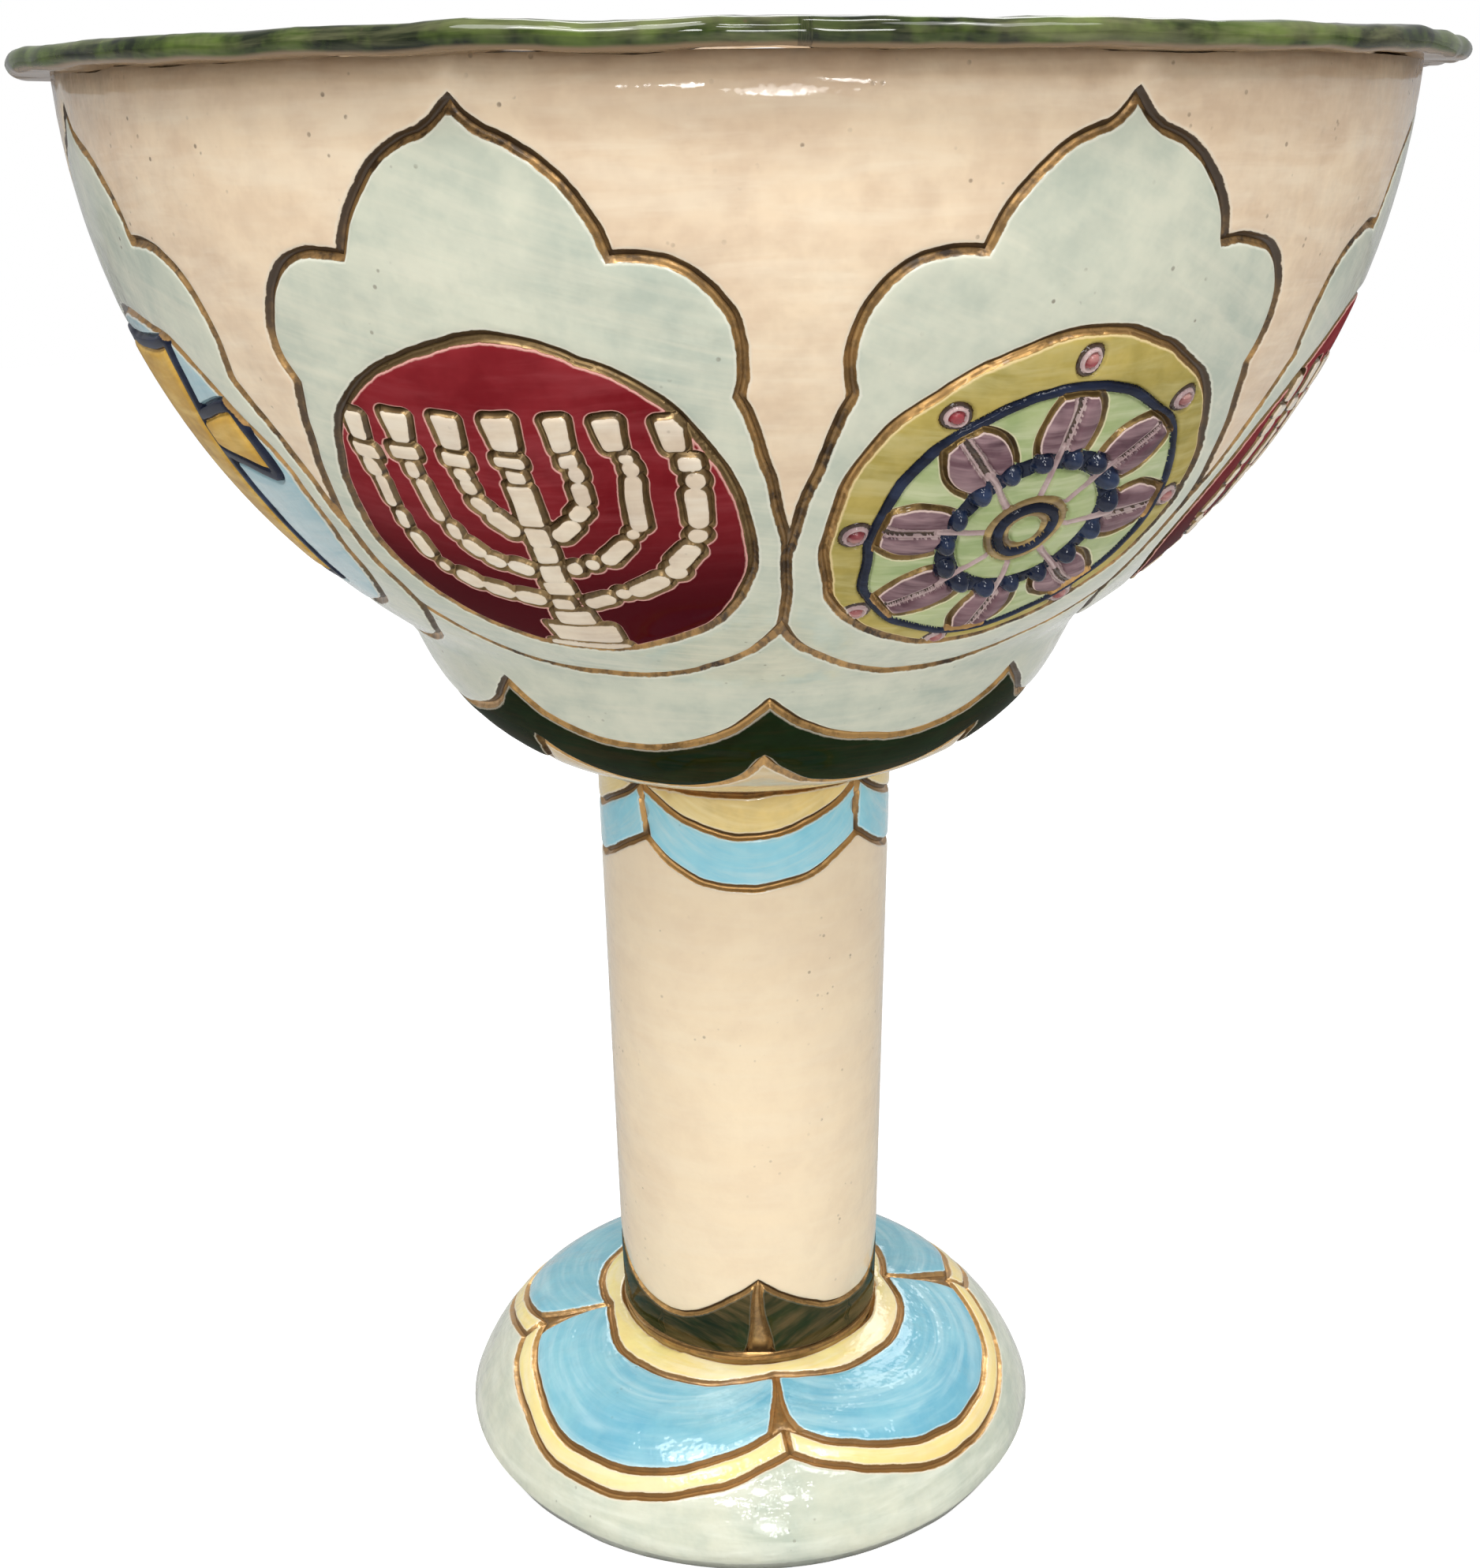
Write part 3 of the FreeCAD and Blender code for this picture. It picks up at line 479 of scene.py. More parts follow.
def noise(tree, vector, scale, detail, rough=0.55, warp=0.0):
    made = addNode(tree, "ShaderNodeTexNoise")
    labels = ("Vector", "Scale", "Detail", "Roughness", "Distortion")
    fill(tree, [made.inputs[label] for label in labels], (vector, scale, detail, rough, warp))
    return made.outputs["Fac"]


# A noise with its range spread from 0 to 1
def grained(tree, vector, scale, detail, rough, warp, low, high):
    return ramped(tree, noise(tree, vector, scale, detail, rough, warp), low, high)


def attribute(tree, name, output="Fac"):
    return addNode(tree, "ShaderNodeAttribute", attribute_name=name).outputs[output]


def objectPlace(tree):
    return addNode(tree, "ShaderNodeTexCoord").outputs["Object"]


def newGroup(name, inputs, outputs):
    tree = bpy.data.node_groups.new(name, "ShaderNodeTree")
    for label, value in inputs.items():
        kind = "NodeSocketColor" if isinstance(value, tuple) else "NodeSocketFloat"
        socket = tree.interface.new_socket(label, in_out="INPUT", socket_type=kind)
        socket.default_value = value
    for label, kind in outputs.items():
        tree.interface.new_socket(label, in_out="OUTPUT", socket_type="NodeSocket" + kind)
    start, end = tree.nodes.new("NodeGroupInput"), tree.nodes.new("NodeGroupOutput")
    return tree, start.outputs, end.inputs


# Glaze laid on with a brush: a slow mottle, streaks along the strokes, thin pale places,
# and small dark specks and pinholes. A grain is a noise: its scale in 1 / m, detail,
# roughness, warp, and the range that is spread from 0 to 1. A wave is a noise's scale,
# detail and share of the height.
glazeGrain = {
    "slow": (16.0, 4.0, 0.6, 0.4, 0.34, 0.68), "small": (95.0, 3.0, 0.6, 0.0, 0.35, 0.7),
    "streak": (130.0, 4.0, 0.62, 0.5, 0.42, 0.68), "fine": (420.0, 2.0, 0.5, 0.0, 0.45, 0.75),
    "patch": (34.0, 2.0, 0.55, 0.0, 0.50, 0.66), "pick": (150.0, 1.0, 0.55, 0.0, 0.52, 0.62),
    "pull": (0.16, 1.0, 1.0), "slowShare": 0.7, "smallShare": 0.45, "streakShare": 0.8,
    "fineShare": 0.35, "dots": 260.0, "dot": (0.10, 0.20, 1.0, 0.0), "dotDark": 0.75,
    "dotColour": (0.10, 0.06, 0.035, 1), "dotDepth": -0.05, "roughness": (0.08, 0.07),
    "waves": [(30.0, 2.0, 1.0), (150.0, 2.0, 0.18), (480.0, 1.0, 0.03)],
    "pulledWave": (260.0, 2.0, 0.07), "height": 0.003}


def glazeGroup(g):
    tree, given, result = newGroup("BrushedGlaze", {
        "Colour": (0.8, 0.7, 0.5, 1), "Deep colour": (0.6, 0.5, 0.4, 1),
        "Thin colour": (0.9, 0.85, 0.75, 1), "Mottle": 0.5, "Streaks": 0.4, "Specks": 0.5,
        "Waves": 0.5}, {"Colour": "Color", "Roughness": "Float", "Normal": "Vector"})
    place, mapping = objectPlace(tree), addNode(tree, "ShaderNodeMapping")
    fill(tree, (mapping.inputs["Vector"], mapping.inputs["Scale"]),
         (attribute(tree, "stroke", "Vector"), g["pull"]))
    pulled = mapping.outputs[0]
    slow, small, patch, pick = [grained(tree, place, *g[name])
                                for name in ("slow", "small", "patch", "pick")]
    streak, fine = [grained(tree, pulled, *g[name]) for name in ("streak", "fine")]
    cloud = timesPlus(tree, small, g["smallShare"], times(tree, slow, g["slowShare"]))
    base = mixColour(tree, times(tree, cloud, given["Mottle"]), given["Colour"],
                     given["Deep colour"])
    streaks = timesPlus(tree, fine, g["fineShare"], times(tree, streak, g["streakShare"]))
    base = mixColour(tree, times(tree, streaks, given["Streaks"]), base, given["Thin colour"])
    dots = addNode(tree, "ShaderNodeTexVoronoi")
    fill(tree, (dots.inputs["Vector"], dots.inputs["Scale"]), (place, g["dots"]))
    dot = times(tree, ramped(tree, dots.outputs["Distance"], *g["dot"]), patch)
    dot = times(tree, times(tree, dot, pick), given["Specks"])
    dark = mixColour(tree, g["dotDark"], base, g["dotColour"])
    link(tree, mixColour(tree, dot, base, dark), result["Colour"])
    link(tree, timesPlus(tree, small, *g["roughness"]), result["Roughness"])
    wave = 0.0
    for vector, (scale, detail, share) in zip([place] * len(g["waves"]) + [pulled],
                                              g["waves"] + [g["pulledWave"]]):
        wave = timesPlus(tree, noise(tree, vector, scale, detail), share, wave)
    bump = addNode(tree, "ShaderNodeBump")
    labels = ("Distance", "Strength", "Height")
    fill(tree, [bump.inputs[label] for label in labels],
         (g["height"], given["Waves"], timesPlus(tree, dot, g["dotDepth"], wave)))
    link(tree, bump.outputs["Normal"], result["Normal"])
    return tree


# The groove beside a field: a mask of the gilded channel, a mask of the thin pale line
# where the glaze stops, and the channel's colour, brown in its bottom and golden above.
# That colour is gold paint in patches plus painted light and shade: the gold is kept on
# the walls that face up, as painted light, and the walls that face down go umber, partly
# the channel's own brown and partly painted shade. Both masks are steps of the distance
# to the groove's middle, in half widths, roughened by two noises (scale, detail, share).
# The gold lies where the channel faces upwards, as painted light.
channelGrain = {
    "rough": [(420.0, 3.0, 0.5), (120.0, 2.0, 0.35)], "channel": (1.46, 1.60, 1.0, 0.0),
    "paleInner": (1.50, 1.64), "paleOuter": (1.72, 2.15, 1.0, 0.0),
    "patchy": (260.0, 4.0, 0.65, 0.0, 0.36, 0.62), "patchyShare": 0.45,
    "blotch": (38.0, 2.0, 0.55, 0.0, 0.30, 0.60), "blotchShare": 0.40,
    "paintedLightFacingUp": (-0.42, 0.30, 0.0, 1.25), "plainGilding": 0.25}


def grooveGroup(g):
    tree, given, result = newGroup("GildedGroove", {
        "Gold": (0.62, 0.36, 0.13, 1), "Umber and painted shade": (0.050, 0.027, 0.010, 1),
        "Gilding": g["plainGilding"]},
        {"Channel": "Float", "Pale line": "Float", "Colour": "Color", "Shine": "Float"})
    place, off = objectPlace(tree), attribute(tree, "edge")
    for scale, detail, share in g["rough"]:
        off = timesPlus(tree, noise(tree, place, scale, detail), share, off)
    link(tree, ramped(tree, off, *g["channel"]), result["Channel"])
    link(tree, times(tree, ramped(tree, off, *g["paleInner"]),
                     ramped(tree, off, *g["paleOuter"])), result["Pale line"])
    goldAndPaintedLight = timesPlus(tree, grained(tree, place, *g["patchy"]), g["patchyShare"],
                       given["Gilding"])
    goldAndPaintedLight = timesPlus(tree, grained(tree, place, *g["blotch"]), g["blotchShare"], goldAndPaintedLight)
    # Painted light and shade: the gold is kept where the wall faces up and fades to umber where it
    # faces down
    goldAndPaintedLight = times(tree, mathNode(tree, "MAXIMUM", goldAndPaintedLight, 0.0),
                   ramped(tree, attribute(tree, "tilt"), *g["paintedLightFacingUp"]))
    least = mathNode(tree, "SUBTRACT", given["Gilding"], g["plainGilding"])
    goldAndPaintedLight = mathNode(tree, "MINIMUM", mathNode(tree, "MAXIMUM", goldAndPaintedLight, least), 1.0)
    link(tree, mixColour(tree, goldAndPaintedLight, given["Umber and painted shade"], given["Gold"]), result["Colour"])
    link(tree, goldAndPaintedLight, result["Shine"])
    return tree


brushedGlaze, gildedGroove = glazeGroup(glazeGrain), grooveGroup(channelGrain)

# What a glaze has if its row says nothing else: how strong the pale line is and its
# colour, the gold in the channel and how much of it, and the shine
plainGlaze = {"line": 0.7, "lineColour": (0.80, 0.70, 0.55), "gold": (0.60, 0.35, 0.13),
              "gilding": 0.25, "gloss": 0.45, "coat": 0.1, "coatRoughness": 0.04,
              "channelRoughness": 0.26, "channelMetal": 0.8}


def opaque(colour):
    return colour + (1,)


def glazeMaterial(name, values, look):
    material = bpy.data.materials.new(name)
    material.use_nodes = True
    tree = material.node_tree
    shader = tree.nodes["Principled BSDF"].inputs
    brushed = addNode(tree, "ShaderNodeGroup", node_tree=brushedGlaze)
    fill(tree, brushed.inputs, [opaque(value) if isinstance(value, tuple) else value
                                for value in values])
    groove = addNode(tree, "ShaderNodeGroup", node_tree=gildedGroove)
    groove.inputs["Gold"].default_value = opaque(look["gold"])
    groove.inputs["Gilding"].default_value = look["gilding"]
    colour, channel = brushed.outputs["Colour"], groove.outputs["Channel"]
    # A second colour towards the low end of the strokes: the brown lower edge of the rim, and on
    # the crimson ground a darkening towards the bottom that is partly its own colour and partly
    # painted shade
    if "lowColour" in look:
        split = addNode(tree, "ShaderNodeSeparateXYZ")
        link(tree, attribute(tree, "stroke", "Vector"), split.inputs[0])
        low = ramped(tree, split.outputs[1], *look["lowRange"])
        colour = mixColour(tree, low, colour, opaque(look["lowColour"]))
    colour = mixColour(tree, times(tree, groove.outputs["Pale line"], look["line"]), colour,
                       opaque(look["lineColour"]))
    metal = times(tree, channel, groove.outputs["Shine"])
    for label, value in (
            ("Base Color", mixColour(tree, channel, colour, groove.outputs["Colour"])),
            ("Roughness", timesPlus(tree, channel, look["channelRoughness"],
                                    brushed.outputs["Roughness"])),
            ("Metallic", times(tree, metal, look["channelMetal"])),
            ("Specular IOR Level", look["gloss"]), ("Coat Weight", look["coat"]),
            ("Coat Roughness", look["coatRoughness"]), ("Normal", brushed.outputs["Normal"])):
        fill(tree, [shader[label]], [value])
    return material


# A glaze's row: its colour where it lies even, deep and thin, its mottle, streaks, specks
# and waves, and what differs from the plain glaze
def glaze(*values, **more):
    return values, {**plainGlaze, **more}


glazes = {
    "cream": glaze((0.87, 0.69, 0.48), (0.64, 0.46, 0.31), (0.9, 0.79, 0.61), 0.75, 0.38, 0.9, 0.5,
        gilding=-0.1),
    "stem cream": glaze((0.9, 0.73, 0.5), (0.76, 0.58, 0.4), (0.91, 0.8, 0.61), 0.5, 0.2, 0.7, 0.4),
    "celadon": glaze((0.67, 0.68, 0.54), (0.46, 0.51, 0.42), (0.76, 0.73, 0.58), 0.95, 0.42, 0.9,
        0.5, line=0.55, lineColour=(0.82, 0.8, 0.68), gilding=-0.1),
    "foot celadon": glaze((0.66, 0.67, 0.53), (0.44, 0.5, 0.41), (0.8, 0.82, 0.7), 0.8, 0.5, 0.6,
        1.1, gilding=0.6, coat=0.4),
    "dark green": glaze((0.006, 0.011, 0.001), (0.008, 0.024, 0.006), (0.045, 0.024, 0.005), 0.8,
        0.4, 0.2, 0.7, line=0.5, gloss=0.0, coat=0.1),
    "leaf green": glaze((0.01, 0.016, 0.004), (0.03, 0.04, 0.01), (0.14, 0.09, 0.035), 0.9, 0.8,
        0.2, 1.4, line=0.1, gloss=0.0, coat=0.3),
    "blue": glaze((0.25, 0.54, 0.62), (0.13, 0.4, 0.54), (0.5, 0.72, 0.76), 0.8, 0.6, 0.3, 1.2,
        lineColour=(0.6, 0.8, 0.83), gilding=0.6, coat=0.3),
    "swag blue": glaze((0.33, 0.71, 0.82), (0.2, 0.58, 0.74), (0.58, 0.78, 0.8), 0.7, 0.6, 0.3,
        0.6, lineColour=(0.66, 0.84, 0.86), gilding=0.4),
    "yellow": glaze((0.88, 0.76, 0.3), (0.86, 0.64, 0.24), (0.9, 0.82, 0.62), 0.8, 0.6, 0.2, 0.9,
        gilding=0.6, coat=0.3),
    "ochre": glaze((0.94, 0.7, 0.25), (0.6, 0.45, 0.18), (0.92, 0.76, 0.38), 0.8, 0.8, 0.2, 0.4),
    "calyx cream": glaze((0.72, 0.53, 0.28), (0.5, 0.36, 0.19), (0.8, 0.74, 0.56), 0.7, 0.5, 0.5,
        0.5),
    "rim green": glaze((0.1, 0.15, 0.022), (0.004, 0.009, 0.001), (0.26, 0.26, 0.13), 1.15, 0.4,
        0.6, 1.6, line=0.0, gloss=0.0, coat=0.7, lowColour=(0.24, 0.16, 0.09),
        lowRange=(0.0219, 0.0204)),
    # Crimson darkens towards the bottom of its medallion, partly its own colour and partly painted
    # shade
    "crimson": glaze((0.26, 0.02, 0.026), (0.15, 0.004, 0.008), (0.4, 0.08, 0.09), 0.8, 0.3, 0.1,
        0.3, line=0.9, lineColour=(0.78, 0.42, 0.36), lowColour=(0.065, 0.001, 0.004),
        lowRange=(0.02, -0.035), gold=(0.3, 0.2, 0.09), gloss=0.0, coat=0.1),
    "lamp cream": glaze((0.84, 0.71, 0.53), (0.62, 0.48, 0.35), (0.9, 0.83, 0.7), 0.9, 0.5, 0.4,
        0.5, line=0.1, gold=(0.3, 0.2, 0.09)),
    "olive": glaze((0.56, 0.43, 0.12), (0.26, 0.22, 0.045), (0.6, 0.52, 0.24), 0.8, 0.6, 0.1, 0.6,
        line=0.9, lineColour=(0.8, 0.62, 0.32), gloss=0.0, coat=0.25),
    "navy": glaze((0.008, 0.012, 0.03), (0.004, 0.005, 0.01), (0.04, 0.06, 0.13), 0.6, 0.4, 0.0,
        0.6, line=0.0, gloss=0.0, coat=0.4),
    "bead": glaze((0.01, 0.016, 0.045), (0.003, 0.004, 0.008), (0.05, 0.09, 0.2), 0.6, 0.4, 0.0,
        0.15, line=0.0, gloss=0.1, coat=0.6),
    "mauve": glaze((0.22, 0.115, 0.135), (0.05, 0.02, 0.03), (0.5, 0.34, 0.35), 0.9, 0.6, 0.2, 0.8,
        line=1.0, lineColour=(0.76, 0.58, 0.52), gloss=0.0, coat=0.35, gold=(0.34, 0.22, 0.08),
        gilding=0.05),
    "pale mauve": glaze((0.62, 0.45, 0.43), (0.3, 0.18, 0.19), (0.8, 0.68, 0.62), 0.9, 0.4, 0.1,
        0.4),
    "sap green": glaze((0.43, 0.49, 0.21), (0.27, 0.36, 0.13), (0.66, 0.68, 0.42), 0.9, 0.6, 0.1,
        0.5, line=0.9, lineColour=(0.74, 0.68, 0.42), gold=(0.34, 0.22, 0.08), gilding=0.05),
    "umber": glaze((0.055, 0.03, 0.02), (0.03, 0.014, 0.01), (0.18, 0.11, 0.06), 0.8, 0.5, 0.0,
        0.4),
    "gilding": glaze((0.34, 0.21, 0.065), (0.1, 0.058, 0.018), (0.66, 0.46, 0.16), 0.9, 0.8, 0.1,
        0.8, line=0.3),
    "gold": glaze((0.72, 0.42, 0.07), (0.4, 0.22, 0.04), (0.86, 0.62, 0.2), 0.8, 0.5, 0.1, 0.5,
        line=0.3, gloss=0.0, coat=0.3),
    "sky": glaze((0.36, 0.55, 0.6), (0.25, 0.44, 0.5), (0.58, 0.7, 0.7), 0.8, 0.5, 0.2, 0.5),
    "rose": glaze((0.32, 0.04, 0.05), (0.1, 0.006, 0.012), (0.74, 0.46, 0.4), 0.8, 0.8, 0.0, 0.5,
        line=1.0, lineColour=(0.8, 0.55, 0.48)),
}
materials = {name: glazeMaterial(name.replace(" ", "_") + "_glaze", *row)
             for name, row in glazes.items()}
print("materials ready")

# Outline of a panel: arcs (x, y, radius) and about where each meets the next, as shares
# of the ball's radius, right side from the apex to the foot
panelShape = {
    "arcs": [(0.0950, 0.5870, 0.1180), (-0.0085, 0.3066, 0.1830), (0.1811, 0.2340, 0.1217),
             (-0.4038, 0.0, 0.7138), (0.0, -0.0391, 0.3240)],
    "corners": [(0.0380, 0.4835), (0.1680, 0.3550), (0.2880, 0.1760), (0.2815, -0.2000)],
    "step": 1.6, "brushRise": 160.0, "brushLean": ((0.9, 0.3), (-0.3, 0.9))}


# The crossing of two circles nearest to a wanted point
def circleCrossing(first, second, wanted):
    a, b = np.array(first[:2]), np.array(second[:2])
    apart = np.hypot(*(b - a))
    along = (apart ** 2 + first[2] ** 2 - second[2] ** 2) / (2 * apart)
    off = sqrt(max(first[2] ** 2 - along ** 2, 0))
    way = (b - a) / apart
    side = np.array([-way[1], way[0]]) * off
    return min((a + way * along + side, a + way * along - side),
               key=lambda p: np.hypot(*(p - np.array(wanted))))


# Points on a circle from one corner to another the short way round
def circleRun(circle, start, end, count=60):
    centre = np.array(circle[:2])
    first, last = np.arctan2(*(start - centre)[::-1]), np.arctan2(*(end - centre)[::-1])
    turn = (last - first + pi) % (2 * pi) - pi
    angle = first + np.linspace(0, 1, count) * turn
    return centre + circle[2] * np.stack([np.cos(angle), np.sin(angle)], 1)


# The right side's arcs: the apex is where the first circle meets x = 0, the foot where
# the last one does
def panelRight(shape):
    arcs = shape["arcs"]
    corners = [np.array([0.0, arcs[0][1] - sqrt(arcs[0][2] ** 2 - arcs[0][0] ** 2)])]
    for first, second, near in zip(arcs[:-1], arcs[1:], shape["corners"]):
        corners.append(circleCrossing(first, second, near))
    corners.append(np.array([0.0, arcs[-1][1] - arcs[-1][2]]))
    return [circleRun(arc, a, b) * wallSizes["ballRadius"]
            for arc, a, b in zip(arcs, corners[:-1], corners[1:])]


# The right flank in the wall's chart, for a panel whose middle is at azimuth 0. Where
# the flank passes the line between two panels it keeps to that line.
def panelFlank(shape):
    sector = pi / panelCount
    middle, runs = discChart(0.5), []
    for run in panelRight(shape):
        flat = wallChart.flatten(middle.place(run)[0])
        beyond = flat[:, 0] > sector
        cuts = np.nonzero(beyond[1:] != beyond[:-1])[0]
        parts, last = [], 0
        for cutAt in cuts:
            a, b = flat[cutAt], flat[cutAt + 1]
            share = (sector - a[0]) / (b[0] - a[0])
            corner = a + share * (b - a)
            corner[0] = sector
            parts.append(np.concatenate([flat[last:cutAt + 1], [corner]]))
            last = cutAt + 1
            flat = np.concatenate([flat[:last], [corner], flat[last:]])
        parts.append(flat[last:])
        runs += [part for part in parts if len(part) > 1]
    clamped = []
    for run in runs:
        run[:, 0] = np.minimum(run[:, 0], sector)
        clamped.append(resampled(run, wallChart, shape["step"]))
    return clamped


def joined(runs):
    return np.concatenate([runs[0]] + [run[1:] for run in runs[1:]])


flank = joined(panelFlank(panelShape))
shared = np.isclose(flank[:, 0], pi / panelCount, atol=1e-7)
sharedFirst, sharedLast = np.nonzero(shared)[0][[0, -1]]
upperFlank, lowerFlank = flank[:sharedFirst + 1], flank[sharedLast:]
sharedRun = flank[sharedFirst:sharedLast + 1]
print("panel outline:", len(flank), "points a side, shared line",
      np.round(np.interp(sharedRun[[0, -1], 1], wallChart.q, wallChart.z), 1))


def mirrored(run):
    return np.stack([-run[:, 0], run[:, 1]], 1)[::-1]


# A run that starts at azimuth 0, with its mirror image before it
def bothSides(right):
    return np.concatenate([mirrored(right)[:-1], right])


def turnedBy(run, angle):
    return run + np.array([angle, 0])


medallionRadius, circlePoints = 57.3, 240
circleAngles = np.linspace(0, 2 * pi, circlePoints + 1)[:-1]
circleFlat = medallionRadius * np.stack([np.sin(circleAngles), np.cos(circleAngles)], 1)


# Strokes on a panel run at a slant: (azimuth x radius, q x rise) turned by the lean
def panelBrush(flat, chart):
    scale = chart.scale(flat)
    straight = np.stack([flat[:, 0] * scale, flat[:, 1] * panelShape["brushRise"]], 1)
    return straight @ np.array(panelShape["brushLean"])


# A panel is its outline with a round hole for the medallion
for number in range(1, panelCount + 1):
    turn = panelTurn(number)
    around = np.concatenate([flank[:-1], mirrored(flank)[:-1]])
    outline = handCut(wallChart, turnedBy(around, turn))
    disc = discChart(number)
    ring = handCut(disc, circleFlat)
    hole = wallChart.flatten(disc.place(ring)[0])
    hole[:, 0] = turn + (hole[:, 0] - turn + pi) % (2 * pi) - pi
    makeField(f"celadon_panel_{number}", wallChart, [outline, hole[::-1]],
              [closed(outline), closed(hole)], "celadon", "celadon_glaze",
              [f"ogee_panel_{number}"], brush=panelBrush)
print("panels made")


# The curve of one sector carried once round the axis. A ring between two such borders is
# closed by a seam at the back, which is welded.
def fullTurn(curve, count=panelCount, first=-pi):
    return joined([turnedBy(curve, first + (number + 0.5) * 2 * pi / count)
                   for number in range(count)])


# The zigzag's edges: the upper is cut by level rods, the lower by upright posts
zigzagShape = {"rodLift": 370.9, "rodRadius": 63.4, "postReach": 142.8, "postRadius": 63.3,
               "hemRadius": 56.4, "step": 1.7, "points": 80}


# Azimuth from 0 to half a sector, and q where the wall meets a level rod
def rodEdge(shape):
    a = np.linspace(0, pi / panelCount, shape["points"])
    z = wallChart.z
    rows = []
    for angle in a:
        gap = ((wallChart.r * sin(angle)) ** 2 + (z - shape["rodLift"]) ** 2
               - shape["rodRadius"] ** 2)
        inside = np.nonzero((gap[:-1] > 0) & (gap[1:] <= 0))[0][0]
        share = gap[inside] / (gap[inside] - gap[inside + 1])
        low, high = wallChart.q[inside:inside + 2]
        rows.append((angle, low + share * (high - low)))
    return resampled(np.array(rows), wallChart, shape["step"])


# q where the cup has the radius r
def cupQ(r):
    low = wallChart.z < wallSizes["cupWidest"]
    return np.interp(r, wallChart.r[low], wallChart.q[low])


# r where the wall meets an upright post: reach cos a - sqrt(radius^2 - (reach sin a)^2)
def postEdge(shape):
    a = np.linspace(0, pi / panelCount, shape["points"])
    reach, radius = shape["postReach"], shape["postRadius"]
    r = reach * np.cos(a) - np.sqrt(radius ** 2 - (reach * np.sin(a)) ** 2)
    return resampled(np.stack([a, cupQ(r)], 1), wallChart, shape["step"])


# Once round the axis at one height
def levelLine(q, count, first=-pi):
    return np.stack([np.linspace(first, first + 2 * pi, count), np.full(count, q)], 1)


# Straight up the surface at one azimuth
def seamRun(azimuth, low, high, chart, step=6.0):
    return resampled(np.array([[azimuth, low], [azimuth, high]]), chart, step)


# The loop of a field between a lower and an upper border that share their two azimuths
def ringLoop(low, high, chart):
    right = seamRun(low[-1, 0], low[-1, 1], high[-1, 1], chart)[1:-1]
    left = seamRun(low[0, 0], low[0, 1], high[0, 1], chart)[1:-1]
    return np.concatenate([low, right, high[::-1], left[::-1]])


def makeRing(name, low, high, lines, chart, *rest, **more):
    loop = handCut(chart, ringLoop(low, high, chart))
    cutLines = [handCut(chart, line) for line in lines]
    makeField(name, chart, [loop], cutLines, *rest, weld=True, **more)


topLine = levelLine(wallChart.q[-1], 260)
upperBorder, lowerBorder, rodBorder, postBorder = [
    fullTurn(bothSides(run)) for run in (upperFlank, lowerFlank[::-1], rodEdge(zigzagShape),
                                         postEdge(zigzagShape))]
hemLine = levelLine(cupQ(zigzagShape["hemRadius"]), 200)

makeRing("cream_ground", upperBorder, topLine, [upperBorder], wallChart,
         "cream", "cream_glaze", ["bowl_shell"], step=8.0)
makeRing("celadon_skirt", rodBorder, lowerBorder, [rodBorder, lowerBorder], wallChart,
         "celadon", "celadon_glaze", ["bowl_skirt"])
makeRing("green_zigzag", postBorder, rodBorder, [postBorder, rodBorder], wallChart,
         "dark green", "dark_green_glaze", ["zigzag_band"])
makeRing("cream_calyx", hemLine, postBorder, [hemLine, postBorder], wallChart,
         "calyx cream", "cream_glaze", ["calyx"])
print("rings of the basin made")


# A turned piece: a section of (r, z) corners carried once round the axis. A section
# that starts and ends at the axis is closed by its poles, and any other by its last side.
def makeTurned(name, section, count, look, nodes, hand=0.0, sharp=35.0):
    section = np.array(section, float)
    closedRun = section[0, 0] > 0
    angles = np.linspace(0, 2 * pi, count, endpoint=False)
    r, z = section[:, 0], section[:, 1]
    points = np.stack([np.outer(np.sin(angles), r), -np.outer(np.cos(angles), r),
                       np.outer(np.ones(count), z)], 2).reshape(-1, 3)
    points = points + handPush(points) * hand
    along = len(section)
    i, j = np.meshgrid(np.arange(count), np.arange(along if closedRun else along - 1),
                       indexing="ij")
    i, j = i.ravel(), j.ravel()
    nextI, nextJ = (i + 1) % count, (j + 1) % along
    faces = np.stack([i * along + j, nextI * along + j, nextI * along + nextJ,
                      i * along + nextJ], 1)
    run = np.concatenate([[0], np.cumsum(np.hypot(np.diff(r), np.diff(z)))])
    stroke = np.stack([np.outer(angles, r).ravel(), np.tile(run, count),
                       np.full(count * along, 3.0)], 1) * milli
    values = {"edge": np.full(len(points), grooveSizes["beyond"]), "stroke": stroke}
    piece = makePiece(name, points, faces, len(faces), [look], nodes, values,
                      weld=True)
    piece.data.set_sharp_from_angle(angle=radians(sharp))


# Basin lining: its underside, its outside a little behind the inlays, and its inside
liningSizes = {"behind": 3.0, "innerBall": 202.0, "innerRound": 68.1, "floor": 286.6,
               "brim": 504.9, "spigot": 37.7, "bore": 31.7, "spigotLow": 265.5, "turns": 240}


